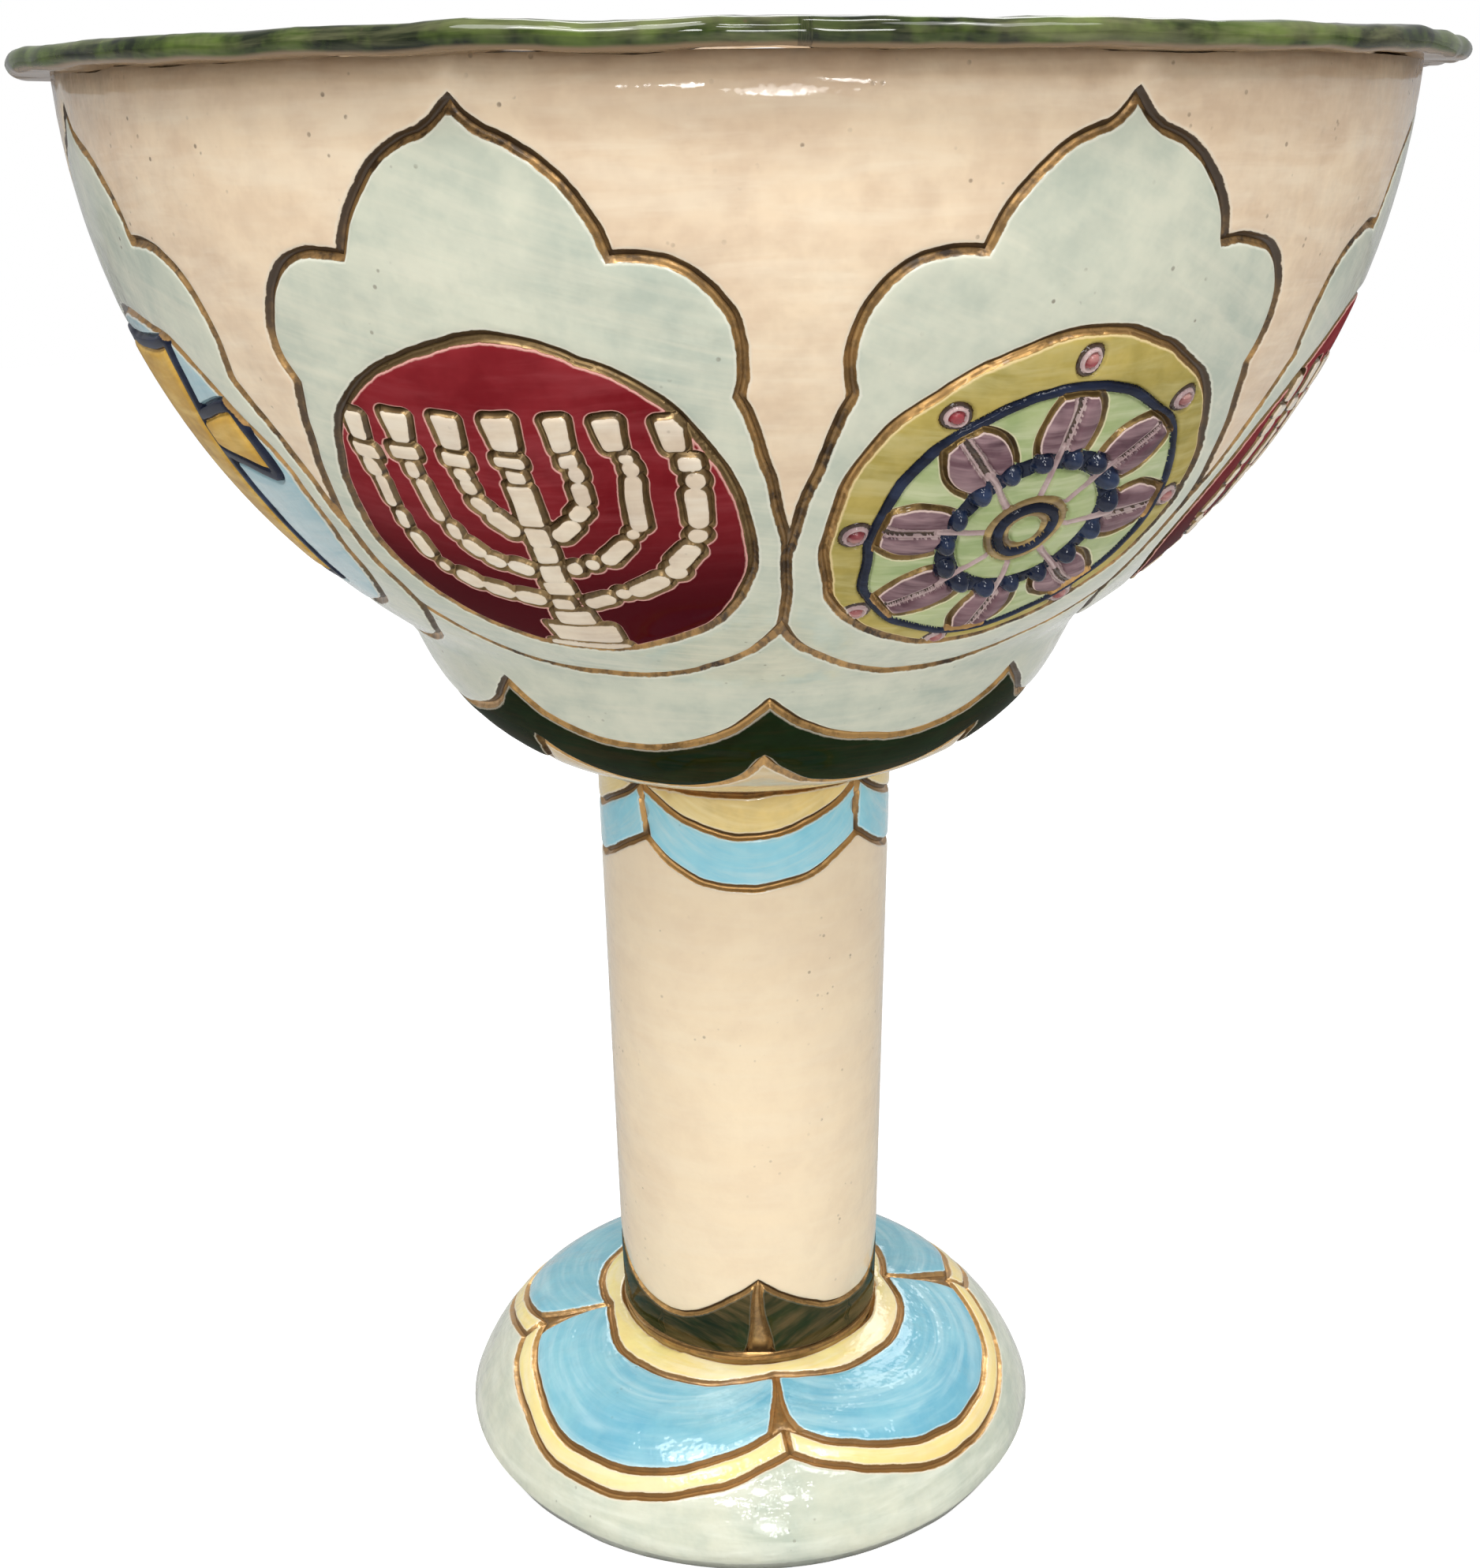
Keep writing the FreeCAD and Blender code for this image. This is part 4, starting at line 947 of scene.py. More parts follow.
# Up the wall at "behind" under the surface, over the brim, down the inner ball and cup:
# r = offset + sqrt(radius^2 - (z - lift)^2), the larger of the two
def liningSection(l, w):
    r, z = wallSection(w)
    outer = np.stack([r - l["behind"], z], 1)[(z > w["foot"] + 0.6) & (z < l["brim"] - 0.5)][::3]
    inZ = np.linspace(l["brim"], l["floor"], 130)
    ball = np.sqrt(np.maximum(l["innerBall"] ** 2 - (inZ - w["ballLift"]) ** 2, 0))
    cup = np.sqrt(np.maximum(l["innerRound"] ** 2 - (inZ - w["roundLift"]) ** 2, 0))
    inR = np.maximum(ball, w["roundOffset"] + cup)
    inner = np.stack([inR, inZ], 1)
    foot = w["foot"]
    under = [(0, foot), (l["bore"], foot), (l["bore"], l["spigotLow"]),
             (l["spigot"], l["spigotLow"]), (l["spigot"], foot), (outer[0, 0], foot)]
    top = [(w["ballRadius"] - l["behind"], l["brim"])]
    return np.concatenate([under, outer, top, inner, [(0, l["floor"])]])


makeTurned("basin_lining", liningSection(liningSizes, wallSizes), liningSizes["turns"],
           "cream", ["bowl_shell"])

# Rim: a flat ring with rounded edges, cut by hand
rimSizes = {"inner": 202.5, "outer": 224.4, "low": 505.1, "high": 511.4, "round": 3.3,
            "turns": 420, "hand": 0.55}


# Quarter rounds at three corners, with a top that swells by a sine
def rimSection(r):
    turn = np.linspace(0, pi / 2, 7)
    lowOut = [(r["outer"] - r["round"] + r["round"] * sin(a), r["low"] + r["round"] * (1 - cos(a)))
              for a in turn]
    highOut = [(r["outer"] - r["round"] * (1 - cos(a)), r["high"] - r["round"] * (1 - sin(a)))
               for a in turn]
    highIn = [(r["inner"] + r["round"] * (1 - sin(a)), r["high"] - r["round"] * (1 - cos(a)))
              for a in turn]
    across = [(r["inner"] + (r["outer"] - r["round"] - r["inner"]) * s, r["low"])
              for s in (0, 0.33, 0.66)]
    flatTop = [(r["outer"] - r["round"] + (r["inner"] - r["outer"] + 2 * r["round"]) * s,
                r["high"] + 0.25 * sin(pi * s)) for s in (0.25, 0.5, 0.75)]
    return across + lowOut + highOut + flatTop + highIn


makeTurned("green_rim", rimSection(rimSizes), rimSizes["turns"], "rim green",
           ["rim_lip"], hand=rimSizes["hand"])
print("rim and lining made")

# Stem. Its bands are cut by level circles: z = lift -+ the height of a circle over x,
# where x = r sin(azimuth).
stemShape = {"quarter": pi / 4, "swagLift": 294.5, "arcLift": 314.0, "swagRadius": 54.0,
             "leafLift": 109.1, "leafRadius": 45.6, "leafFoot": 49.3, "step": 1.5,
             "slimGap": 0.9, "wideGap": 4.8, "gapBend": 2.4, "leafBrushLift": 20.0,
             "core": [(38.2, 48.5), (46.8, 48.5), (49.9, 276.0), (38.2, 276.0)]}


# z = lift - sqrt(radius^2 - x^2), found in four rounds since x depends on r(z)
def stemCurve(lift, radius, count=40):
    s = stemShape
    a = np.linspace(0, s["quarter"], count)
    q = np.zeros(count)
    for _ in range(4):
        r = stemChart.scale(np.stack([a, q], 1))
        q = stemChart.qAt(lift - np.sqrt(radius ** 2 - (r * np.sin(a)) ** 2))
    return bothSides(resampled(np.stack([a, q], 1), stemChart, s["step"]))


swagLow = stemCurve(stemShape["swagLift"], stemShape["swagRadius"])
swagHigh = stemCurve(stemShape["arcLift"], stemShape["swagRadius"])
leafHigh = stemCurve(stemShape["leafLift"], stemShape["leafRadius"])


# Strokes that follow circles round a point of the stem, as (run along, distance)
def arcBrush(middle, lift):
    def brush(flat, chart):
        x = (flat[:, 0] - middle) * chart.scale(flat)
        z = np.interp(flat[:, 1], chart.q, chart.z) - lift
        far = np.hypot(x, z)
        return np.stack([np.arctan2(x, -z) * far, far], 1)
    return brush


# A field with an outline of its own, turned to its place. A bare one, gilded all over,
# has no groove.
def makeInlay(name, chart, ring, turn, look, slotName, node, bare=False, **more):
    loop = handCut(chart, turnedBy(ring, turn))
    around = [closed(loop)]
    makeField(name, chart, [loop], [] if bare else around, look, slotName, [node],
              near=around, **more)


swagRing = ringLoop(swagLow, swagHigh, stemChart)
crescentTop = np.stack([swagHigh[:, 0], np.full(len(swagHigh), stemChart.q[-1])], 1)
crescentRing = ringLoop(swagHigh, crescentTop, stemChart)
for number in range(1, 5):
    turn = (number - 1) * pi / 2
    makeInlay(f"blue_swag_{number}", stemChart, swagRing, turn, "swag blue", "blue_glaze",
              f"stem_swag_{number}", brush=arcBrush(turn, stemShape["swagLift"]), step=4.0,
              half=1.3)
    makeInlay(f"ochre_crescent_{number}", stemChart, crescentRing, turn, "ochre",
              "ochre_glaze", f"stem_crescent_{number}",
              brush=arcBrush(turn, stemShape["arcLift"]), step=4.0, half=1.3)


# Leaf: its sides draw in towards the bottom, where the gilding between them widens
# gap = slim + (wide - slim) (1 - share)^bend, from the foot up
def leafSides():
    s = stemShape
    low, high = stemChart.qAt(s["leafFoot"]), leafHigh[-1, 1]
    share = np.linspace(0, 1, 14)
    q = low + (high - low) * share
    gap = s["slimGap"] + (s["wideGap"] - s["slimGap"]) * (1 - share) ** s["gapBend"]
    right = np.stack([s["quarter"] - gap / stemChart.scale(np.stack([share, q], 1)), q], 1)
    top = leafHigh[np.abs(leafHigh[:, 0]) < right[-1, 0]]
    foot = resampled(right[0] * [[-1, 1], [1, 1]], stemChart, s["step"])
    return np.concatenate([foot, right[1:], top[::-1], mirrored(right)[:-1]]), right


# Gilded fork between two leaves: a thin wedge under each peak of the border
def forkLoop(right):
    side = turnedBy(right, -stemShape["quarter"])
    foot = resampled(side[0] * [[1, 1], [-1, 1]], stemChart, stemShape["step"])
    peak = np.array([[0.0, leafHigh[-1, 1]]])
    return np.concatenate([foot, mirrored(side)[::-1][1:], peak, side[::-1][:-1]])


leafRing, leafRight = leafSides()
forkRing = forkLoop(leafRight)
for number in range(1, 5):
    turn = (number - 0.5) * pi / 2
    makeInlay(f"green_leaf_{number}", stemChart, leafRing, turn, "leaf green",
              "dark_green_glaze", f"stem_leaf_{number}",
              brush=arcBrush(turn, stemShape["leafBrushLift"]), step=4.0, half=1.0)
    makeInlay(f"gilded_fork_{number}", stemChart, forkRing, (number - 1) * pi / 2, "gilding",
              "gold_lustre", "stem_tube", bare=True, step=1.6, half=1.0)


# The same closed border, cut open at another azimuth
def reseamed(line, start):
    before = line[:, 0] < start - 1e-9
    kept = line[~before]
    return np.concatenate([kept, turnedBy(line[before], 2 * pi)[1:],
                           turnedBy(kept[:1], 2 * pi)])


leafHem = levelLine(stemChart.qAt(stemShape["leafFoot"]), 160)
makeRing("gilded_hem", levelLine(0.0, 160), leafHem, [leafHem], stemChart,
         "gilding", "gold_lustre", ["stem_tube"], step=2.0, half=1.0)
swagBorder = reseamed(fullTurn(swagLow, 4, -pi - stemShape["quarter"]), -pi)
leafBorder = fullTurn(leafHigh, 4, -pi)
makeRing("cream_stem", leafBorder, swagBorder, [leafBorder, swagBorder], stemChart,
         "stem cream", "cream_glaze", ["stem_tube"], step=7.0, half=1.3)
makeTurned("stem_core", stemShape["core"], 96, "stem cream",
           ["stem_tube"])
print("stem made")

# Foot. Its bands are cut by upright circles: r = offset cos a + sqrt(radius^2 -
# (offset sin a)^2), with a counted from the middle of a petal.
footShape = {"first": radians(50.0), "quarter": pi / 4, "petal": (38.0, 61.4),
             "border": (34.7, 70.5), "lobe": (17.7, 45.5), "step": 1.5, "spur": 4.6 / 84.0,
             "spurBend": 2.6, "strokePull": 0.6,
             "hollow": [(95.5, 0.0), (106.8, 0.1), (108.3, 7.0), (81.5, 35.9), (50.2, 43.6),
                        (37.7, 44.0), (37.7, 59.0), (31.7, 59.0), (31.7, 34.5), (50.2, 34.0),
                        (76.5, 29.0), (92.5, 12.0), (95.5, 6.0)]}
widest = int(np.argmax(footChart.r))


def footCurve(circle):
    offset, radius = circle
    a = np.linspace(0, footShape["quarter"], 60)
    r = offset * np.cos(a) + np.sqrt(radius ** 2 - (offset * np.sin(a)) ** 2)
    q = np.interp(r, footChart.r[widest:][::-1], footChart.q[widest:][::-1])
    return bothSides(resampled(np.stack([a, q], 1), footChart, footShape["step"]))


petalArc = footCurve(footShape["petal"])
borderArc = footCurve(footShape["border"])
lobeArc = footCurve(footShape["lobe"])


# Strokes along circles round a petal's own middle, as seen from above
def petalBrush(middle, offset):
    def brush(flat, chart):
        r = chart.scale(flat)
        x = r * np.sin(flat[:, 0]) - offset * sin(middle)
        y = -r * np.cos(flat[:, 0]) + offset * cos(middle)
        far = np.hypot(x, y)
        way = (np.arctan2(x, -y) - middle + pi) % (2 * pi) - pi
        return np.stack([way * far * footShape["strokePull"], far], 1)
    return brush


# Petal: its sides leave the line between two petals near the outer end, where a
# gilded spur fills the corner
def petalSides(f):
    outer = petalArc[np.abs(petalArc[:, 0]) < f["quarter"] - f["spur"]]
    top, low = lobeArc[-1], outer[-1]
    share = np.linspace(0, 1, 16)[:, None]
    side = top + (low - top) * share
    side[:, 0] = f["quarter"] - (f["quarter"] - low[0]) * share[:, 0] ** f["spurBend"]
    ring = np.concatenate([outer, side[::-1][1:], lobeArc[::-1][1:], mirrored(side)[::-1][1:-1]])
    beyond = petalArc[petalArc[:, 0] >= low[0]]
    left = turnedBy(np.concatenate([side, beyond[1:]]), -f["quarter"])
    right = np.stack([-left[:, 0], left[:, 1]], 1)
    spur = np.concatenate([left, right[::-1][1:-1]])
    return ring, spur


petalRing, spurRing = petalSides(footShape)
borderRing = ringLoop(borderArc, petalArc, footChart)
for number in range(1, 5):
    turn = footShape["first"] + (number - 1) * pi / 2
    makeInlay(f"blue_petal_{number}", footChart, petalRing, turn, "blue", "blue_glaze",
              f"foot_petal_{number}", brush=petalBrush(turn, footShape["petal"][0]), step=4.5,
              half=1.3)
    makeInlay(f"yellow_border_{number}", footChart, borderRing, turn, "yellow",
              "yellow_glaze", f"foot_border_{number}",
              brush=petalBrush(turn, footShape["border"][0]), step=3.0, half=1.3)
    makeInlay(f"gilded_spur_{number}", footChart, spurRing, turn + footShape["quarter"],
              "gilding", "gold_lustre", "foot_dish", bare=True, step=1.6, half=1.0)
footStart = footShape["first"] - footShape["quarter"] - pi
borderBorder = fullTurn(borderArc, 4, footStart)
lobeBorder = fullTurn(lobeArc, 4, footStart)
stemRoot = levelLine(footChart.q[-1], 180, footStart)
makeRing("yellow_inner_ring", lobeBorder, stemRoot, [lobeBorder, stemRoot], footChart,
         "yellow", "yellow_glaze", ["foot_inner_ring"], step=3.5, half=1.3)
makeRing("celadon_foot", levelLine(0.0, 300, footStart), borderBorder, [borderBorder],
         footChart, "foot celadon", "celadon_glaze", ["foot_dish"], step=5.5,
         half=1.3)
makeTurned("foot_hollow", footShape["hollow"], 160, "foot celadon",
           ["foot_dish"])
for bedding in ("upper_bedding", "lower_bedding"):
    for slot in bpy.data.objects[bedding].material_slots:
        slot.material = materials["umber"]
print("foot made")

# Medallions. A figure is a list of layers, each with a distance to its outline that is
# negative inside, and each later layer lies over the earlier ones.


# Distance to boxes (u0, u1, v0, v1, taper) with rounded corners, the smallest of them.
# A tapered box is narrower at its foot by that share.
def boxesDistance(p, table, corner):
    best = np.full(len(p), 1e9)
    for u0, u1, v0, v1, taper in table:
        deep = (v1 - p[:, 1]) / (v1 - v0)
        half = (u1 - u0) / 2 * (1 - taper * np.clip(deep, 0, 1)) - corner
        offU = np.abs(p[:, 0] - (u0 + u1) / 2) - half
        offV = np.abs(p[:, 1] - (v0 + v1) / 2) - (v1 - v0) / 2 + corner
        outside = np.hypot(np.maximum(offU, 0), np.maximum(offV, 0))
        best = np.minimum(best, outside + np.minimum(np.maximum(offU, offV), 0) - corner)
    return best


# Distance to round-ended strokes (u, v, u, v, width)
def strokesDistance(p, table):
    table = np.asarray(table, float)
    best = np.full(len(p), 1e9)
    for row in table:
        start, way, radius = row[:2], row[2:4] - row[:2], row[4] / 2
        along = np.clip(((p - start) @ way) / max(way @ way, 1e-9), 0, 1)
        best = np.minimum(best, np.linalg.norm(p - start - along[:, None] * way, axis=1) - radius)
    return best


# Distance to a polygon's sides, negative inside
def polygonDistance(p, corners):
    corners = np.array(corners, float)
    lifted = np.concatenate([corners, np.zeros((len(corners), 1))], 1)
    segments = np.stack([lifted, np.roll(lifted, -1, axis=0)], 1)
    far = distanceTo(np.concatenate([p, np.zeros((len(p), 1))], 1), segments)
    return np.where(insideOf(p, [corners]), -far, far)


# Lampstand with seven arms, each arm a row of separate pieces
lampstandBoxes = np.array([
    (-3.7, 4.5, 28.2, 36.8, 0.2), (-3.7, 4.0, 22.8, 25.5, 0), (-1.7, 3.0, 17.5, 21.0, 0),
    (-3.2, 3.5, 1.0, 15.8, 0), (-3.0, 3.2, -6.5, -0.5, 0), (-2.8, 3.5, -12.8, -7.2, 0),
    (-2.8, 3.5, -21.0, -14.5, 0), (-3.8, 4.2, -26.5, -21.8, 0), (-4.0, 1.5, -33.2, -29.5, 0),
    (-4.7, 5.0, -40.8, -35.0, 0), (-9.0, 9.5, -51.0, -42.5, 0), (-11.7, 11.2, -58.2, -53.0, 0),
    (-45.8, -40.5, 25.2, 33.2, 0.2), (-33.3, -26.2, 26.8, 36.0, 0.4),
    (-18.8, -11.7, 26.8, 36.3, 0.3), (12.5, 18.3, 26.8, 36.0, 0.25),
    (25.5, 31.8, 25.5, 34.0, 0.3), (40.5, 46.8, 24.8, 33.0, 0.3),
    (-46.5, -39.5, 19.2, 23.2, 0), (-34.0, -26.5, 20.8, 24.8, 0), (-18.7, -11.8, 20.5, 24.7, 0),
    (13.8, 18.0, 22.0, 25.2, 0), (29.3, 32.5, 21.5, 23.5, 0), (44.0, 49.0, 19.0, 22.5, 0)])
lampstandStrokes = np.array([
    (-43.8, 18.0, -43.3, 13.5, 4.5), (-42.5, 12.0, -42.5, 2.2, 3.0), (-41.2, -0.8, -41.2, -6, 3.1),
    (-39.5, -9.0, -37.0, -17.2, 4.0), (-33.2, -21.0, -33.2, -20.9, 3.0),
    (-28.5, -23.0, -24.0, -26.5, 5.5), (-21.5, -27.0, -15.5, -28.0, 5.0),
    (-13.0, -28.5, -7.0, -30.0, 5.0), (-30.0, 19.0, -30.0, 15.0, 3.0),
    (-29.0, 13.0, -27.3, 0.0, 2.8), (-24.7, -2.0, -24.7, -6.0, 3.2),
    (-22.5, -7.5, -18.5, -11.5, 4.0), (-17.0, -12.5, -13.5, -15.0, 3.5),
    (-10.8, -14.5, -6.0, -17.0, 4.0), (-15.3, 18.3, -15.3, 16.2, 3.8),
    (-15.0, 15.0, -15.0, 11.5, 3.4), (-15.0, 8.5, -12.0, 5.5, 3.6), (-11.5, 4.0, -6.0, -2.0, 4.5),
    (17.0, 21.0, 17.0, 18.0, 3.3), (16.5, 16.0, 16.5, 10.0, 3.5), (12.8, 4.5, 16.0, 8.0, 4.0),
    (6.2, -3.5, 12.0, 2.0, 4.5), (31.5, 20.2, 31.5, 18.5, 4.0), (31.5, 16.5, 29.5, 0.0, 4.2),
    (27.3, -2.2, 27.3, -2.1, 3.0), (25.3, -5.5, 18.5, -12.5, 4.0), (14.0, -14.0, 14.1, -14.0, 3.5),
    (8.2, -16.0, 8.3, -16.0, 4.2), (47.0, 17.0, 47.0, 13.8, 4.0), (46.5, 12.0, 44.7, 0.0, 4.5),
    (44.2, -4.0, 44.2, -3.9, 4.5), (42.5, -8.5, 36.3, -15.0, 4.5), (35.3, -17.5, 35.4, -17.5, 5.0),
    (31.5, -20.5, 22.3, -26.2, 4.5), (19.0, -26.8, 19.1, -26.7, 3.8), (15, -29, 7, -31.3, 4.0)])


# Strokes are drawn a little shorter than their ends, which are then round
def lampstandDistance(p):
    strokes = lampstandStrokes.copy()
    way = strokes[:, 2:4] - strokes[:, :2]
    long = np.linalg.norm(way, axis=1)[:, None]
    pull = np.minimum(strokes[:, 4:5] * 0.32, long * 0.45) * way / long
    strokes[:, :2] += pull
    strokes[:, 2:4] -= pull
    return np.minimum(boxesDistance(p, lampstandBoxes, 0.9), strokesDistance(p, strokes))


wheelShape = {"centre": (0.8, -4.0), "petals": 8, "petalMiddle": 34.0, "petalReach": 12.6,
              "petalHalf": 8.6, "petalLens": 1.15, "petalEnd": 44.0, "beads": 16,
              "beadReach": 24.0, "bead": 3.4}


# Distance to the nearest of the spokes' lines, and the run out along them
def spokeFrame(p, count, first):
    off = p - np.array(wheelShape["centre"])
    far, angle = np.hypot(*off.T), np.arctan2(off[:, 1], off[:, 0])
    step = 2 * pi / count
    turn = (angle - first + step / 2) % step - step / 2
    return far * np.cos(turn), far * np.sin(turn), far


# A petal is a lens: two circles through its ends, half the width apart at its middle
def wheelPetals(p):
    s = wheelShape
    out, across, far = spokeFrame(p, s["petals"], pi / 2)
    reach, half = s["petalReach"] * s["petalLens"], s["petalHalf"]
    radius = (reach ** 2 + half ** 2) / (2 * half)
    lens = np.hypot(out - s["petalMiddle"], np.abs(across) + radius - half) - radius
    return np.maximum(lens, far - s["petalEnd"])


# Round beads between the petals' lines
def wheelBeads(p):
    s = wheelShape
    out, across, _ = spokeFrame(p, s["beads"], pi / 2 + pi / s["beads"])
    return np.hypot(out - s["beadReach"], across) - s["bead"]


# Straight bars from low to high along the petals' lines
def wheelSpokes(low, high, half):
    def distance(p):
        out, across, _ = spokeFrame(p, wheelShape["petals"], pi / 2)
        return np.maximum(np.abs(across) - half, np.maximum(low - out, out - high))
    return distance


def wheelDisc(radius):
    return lambda p: np.hypot(*(p - np.array(wheelShape["centre"])).T) - radius


roseTable = [(0, 49.5), (37.5, 33.5), (51.5, -5), (32, -42), (-5.5, -54), (-37, -39.5),
             (-50, -6), (-34, 34.5)]


def roseDots(radius):
    table = [(u, v, u + 0.1, v, 2 * radius) for u, v in roseTable]
    return lambda p: strokesDistance(p, table)


crossParts = [[(-26, 46), (26, 46), (20, 22), (20, 5), (14, -39), (-14, -39), (-20, 5), (-20, 22)],
              [(22.5, 23), (47, 26), (47, 7), (22.5, 15)],
              [(-22.5, 23), (-22.5, 15), (-47, 7), (-47, 26)]]


# The nearest of the cross's three parts
def crossDistance(p):
    return np.min([polygonDistance(p, part) for part in crossParts], axis=0)


# Layers: distance, where its groove's middle lies, the groove's half width, material,
# how high and how wide its crown is, and whether the groove is gilded
figures = {
    "lampstand": {"ground": ("crimson", "crimson_glaze"), "slot": "ivory_glaze", "layers": [
        (lampstandDistance, 1.25, 0.85, "lamp cream", 0.6, 1.8, True)]},
    "wheel": {"ground": ("olive", "leaf_glaze"), "slot": "plum_glaze", "layers": [
        (roseDots(4.4), 0.0, 0.6, "umber", 0.2, 2.0, False),
        (roseDots(3.3), 0.0, 0.4, "pale mauve", 0.8, 1.0, False),
        (roseDots(2.2), 0.0, 0.4, "rose", 1.1, 1.6, False),
        (wheelDisc(47.9), 0.0, 0.5, "navy", 0.6, 1.5, False),
        (wheelDisc(45.0), 0.0, 0.4, "sap green", 0.3, 3.0, False),
        (wheelPetals, 0.9, 0.95, "mauve", 1.4, 6.0, True),
        (wheelSpokes(17.0, 43.5, 1.9), 0.0, 0.5, "pale mauve", 0.9, 1.2, False),
        (wheelSpokes(17.0, 43.8, 0.75), 0.0, 0.4, "umber", 0.0, 1.0, False),
        (wheelDisc(26.6), 0.0, 0.5, "navy", 0.3, 3.0, False),
        (wheelBeads, 0.0, 0.5, "bead", 3.2, 3.4, False),
        (wheelDisc(20.6), 0.0, 0.5, "sap green", 0.4, 3.0, False),
        (wheelSpokes(11.5, 29.0, 1.0), 0.0, 0.4, "pale mauve", 0.5, 0.9, False),
        (wheelDisc(12.0), 0.0, 0.5, "gilding", 0.3, 1.5, False),
        (wheelDisc(9.6), 0.0, 0.4, "navy", 0.9, 1.3, False),
        (wheelDisc(6.7), 0.0, 0.4, "gilding", 0.0, 1.0, False),
        (wheelDisc(4.6), 0.0, 0.5, "sap green", 0.5, 2.0, False)]},
    "cross": {"ground": ("sky", "blue_glaze"), "slot": "gold_lustre", "layers": [
        (crossDistance, 4.8, 0.7, "navy", 0.5, 2.0, False),
        (crossDistance, 0.2, 0.5, "gold", 0.9, 2.5, False)]},
}
figureOf = {1: "wheel", 5: "wheel", 3: "cross", 7: "cross", 2: "lampstand", 4: "lampstand",
            6: "lampstand", 8: "lampstand"}
figureSizes = {"grid": 0.5, "rows": [0, 0.35, 0.7, 1.0, 1.35, 1.9, 2.8], "thin": 0.42,
               "plain": 3.6, "thickness": 1.6, "insideRow": 4.0, "thinLast": 0.62,
               "gap": 0.3, "strokeStep": 40.0}


# Points where a sampled distance passes a level, on the sides of the sampling grid
def levelPoints(values, gx, gy, level):
    off, found = values - level, []
    low, high, every = slice(None, -1), slice(1, None), slice(None)
    for first, second in (((low, every), (high, every)), ((every, low), (every, high))):
        a, b = off[first], off[second]
        hit = (a < 0) != (b < 0)
        share = a[hit] / (a[hit] - b[hit])
        found.append(np.stack([gx[first][hit] + share * (gx[second][hit] - gx[first][hit]),
                               gy[first][hit] + share * (gy[second][hit] - gy[first][hit])], 1))
    return np.concatenate(found)


# For each point: the layer on top, the depth of the nearest groove, its share of the
# groove's half width, and the height of the crown
def readLayers(p, layers):
    top = np.full(len(p), -1)
    edge = np.full(len(p), grooveSizes["beyond"])
    depth, crown = np.zeros(len(p)), np.zeros(len(p))
    hidden = np.zeros(len(p), bool)
    rimFar = medallionRadius - np.hypot(*p.T)
    for number in range(len(layers) - 1, -1, -1):
        distance, middle, half, _, height, width, gilded = layers[number]
        off = distance(p) - middle
        inside = (off < 0) & ~hidden
        top[inside] = number
        t = np.clip(-off[inside] / width, 0, 1)
        crown[inside] = height * (1 - (1 - t) ** 2)
        seen = ~hidden
        share = np.abs(off) / half
        nearer = seen & (share < edge) & gilded
        edge[nearer] = share[nearer]
        groove = grooveDepth(np.abs(off), half) * half / grooveSizes["half"]
        depth[seen] = np.maximum(depth[seen], groove[seen])
        hidden |= off < 0
    half = grooveSizes["half"]
    edge = np.minimum(edge, rimFar / half)
    depth = np.maximum(depth, grooveDepth(rimFar, half))
    return top, edge, depth, crown


# Rows of points along every outline and beside its groove, then an even grid: the mesh
# follows the figure's lines
def figureMesh(layers):
    s = figureSizes
    side = np.arange(-medallionRadius, medallionRadius + s["grid"], s["grid"])
    gx, gy = np.meshgrid(side, side, indexing="ij")
    samples = np.stack([gx.ravel(), gy.ravel()], 1)
    fields = [(layer[0](samples).reshape(gx.shape), layer[1], layer[2]) for layer in layers]
    rows = []
    for share in s["rows"]:
        for values, middle, half in fields:
            for sign in (1, -1) if share else (1,):
                rows.append(levelPoints(values, gx, gy, middle + sign * share * half))
    rows += [levelPoints(values, gx, gy, middle - s["insideRow"] * half)
             for values, middle, half in fields]
    rows += [circleFlat * (1 - distance / medallionRadius) for distance in grooveSizes["rows"]]
    grid = evenGrid([circleFlat], s["plain"])
    rows = np.concatenate([thinned(row, s["thin"]) for row in rows if len(row)] + [grid])
    rows = thinned(rows, s["thin"] * s["thinLast"])
    rows = rows[np.hypot(*rows.T) < medallionRadius - s["gap"]]
    return triangulate([circleFlat], rows)


# The part of a mesh that some faces use
def cutOut(points, faces, *values):
    used, back = np.unique(faces, return_inverse=True)
    return points[used], back.reshape(faces.shape), [value[used] for value in values]


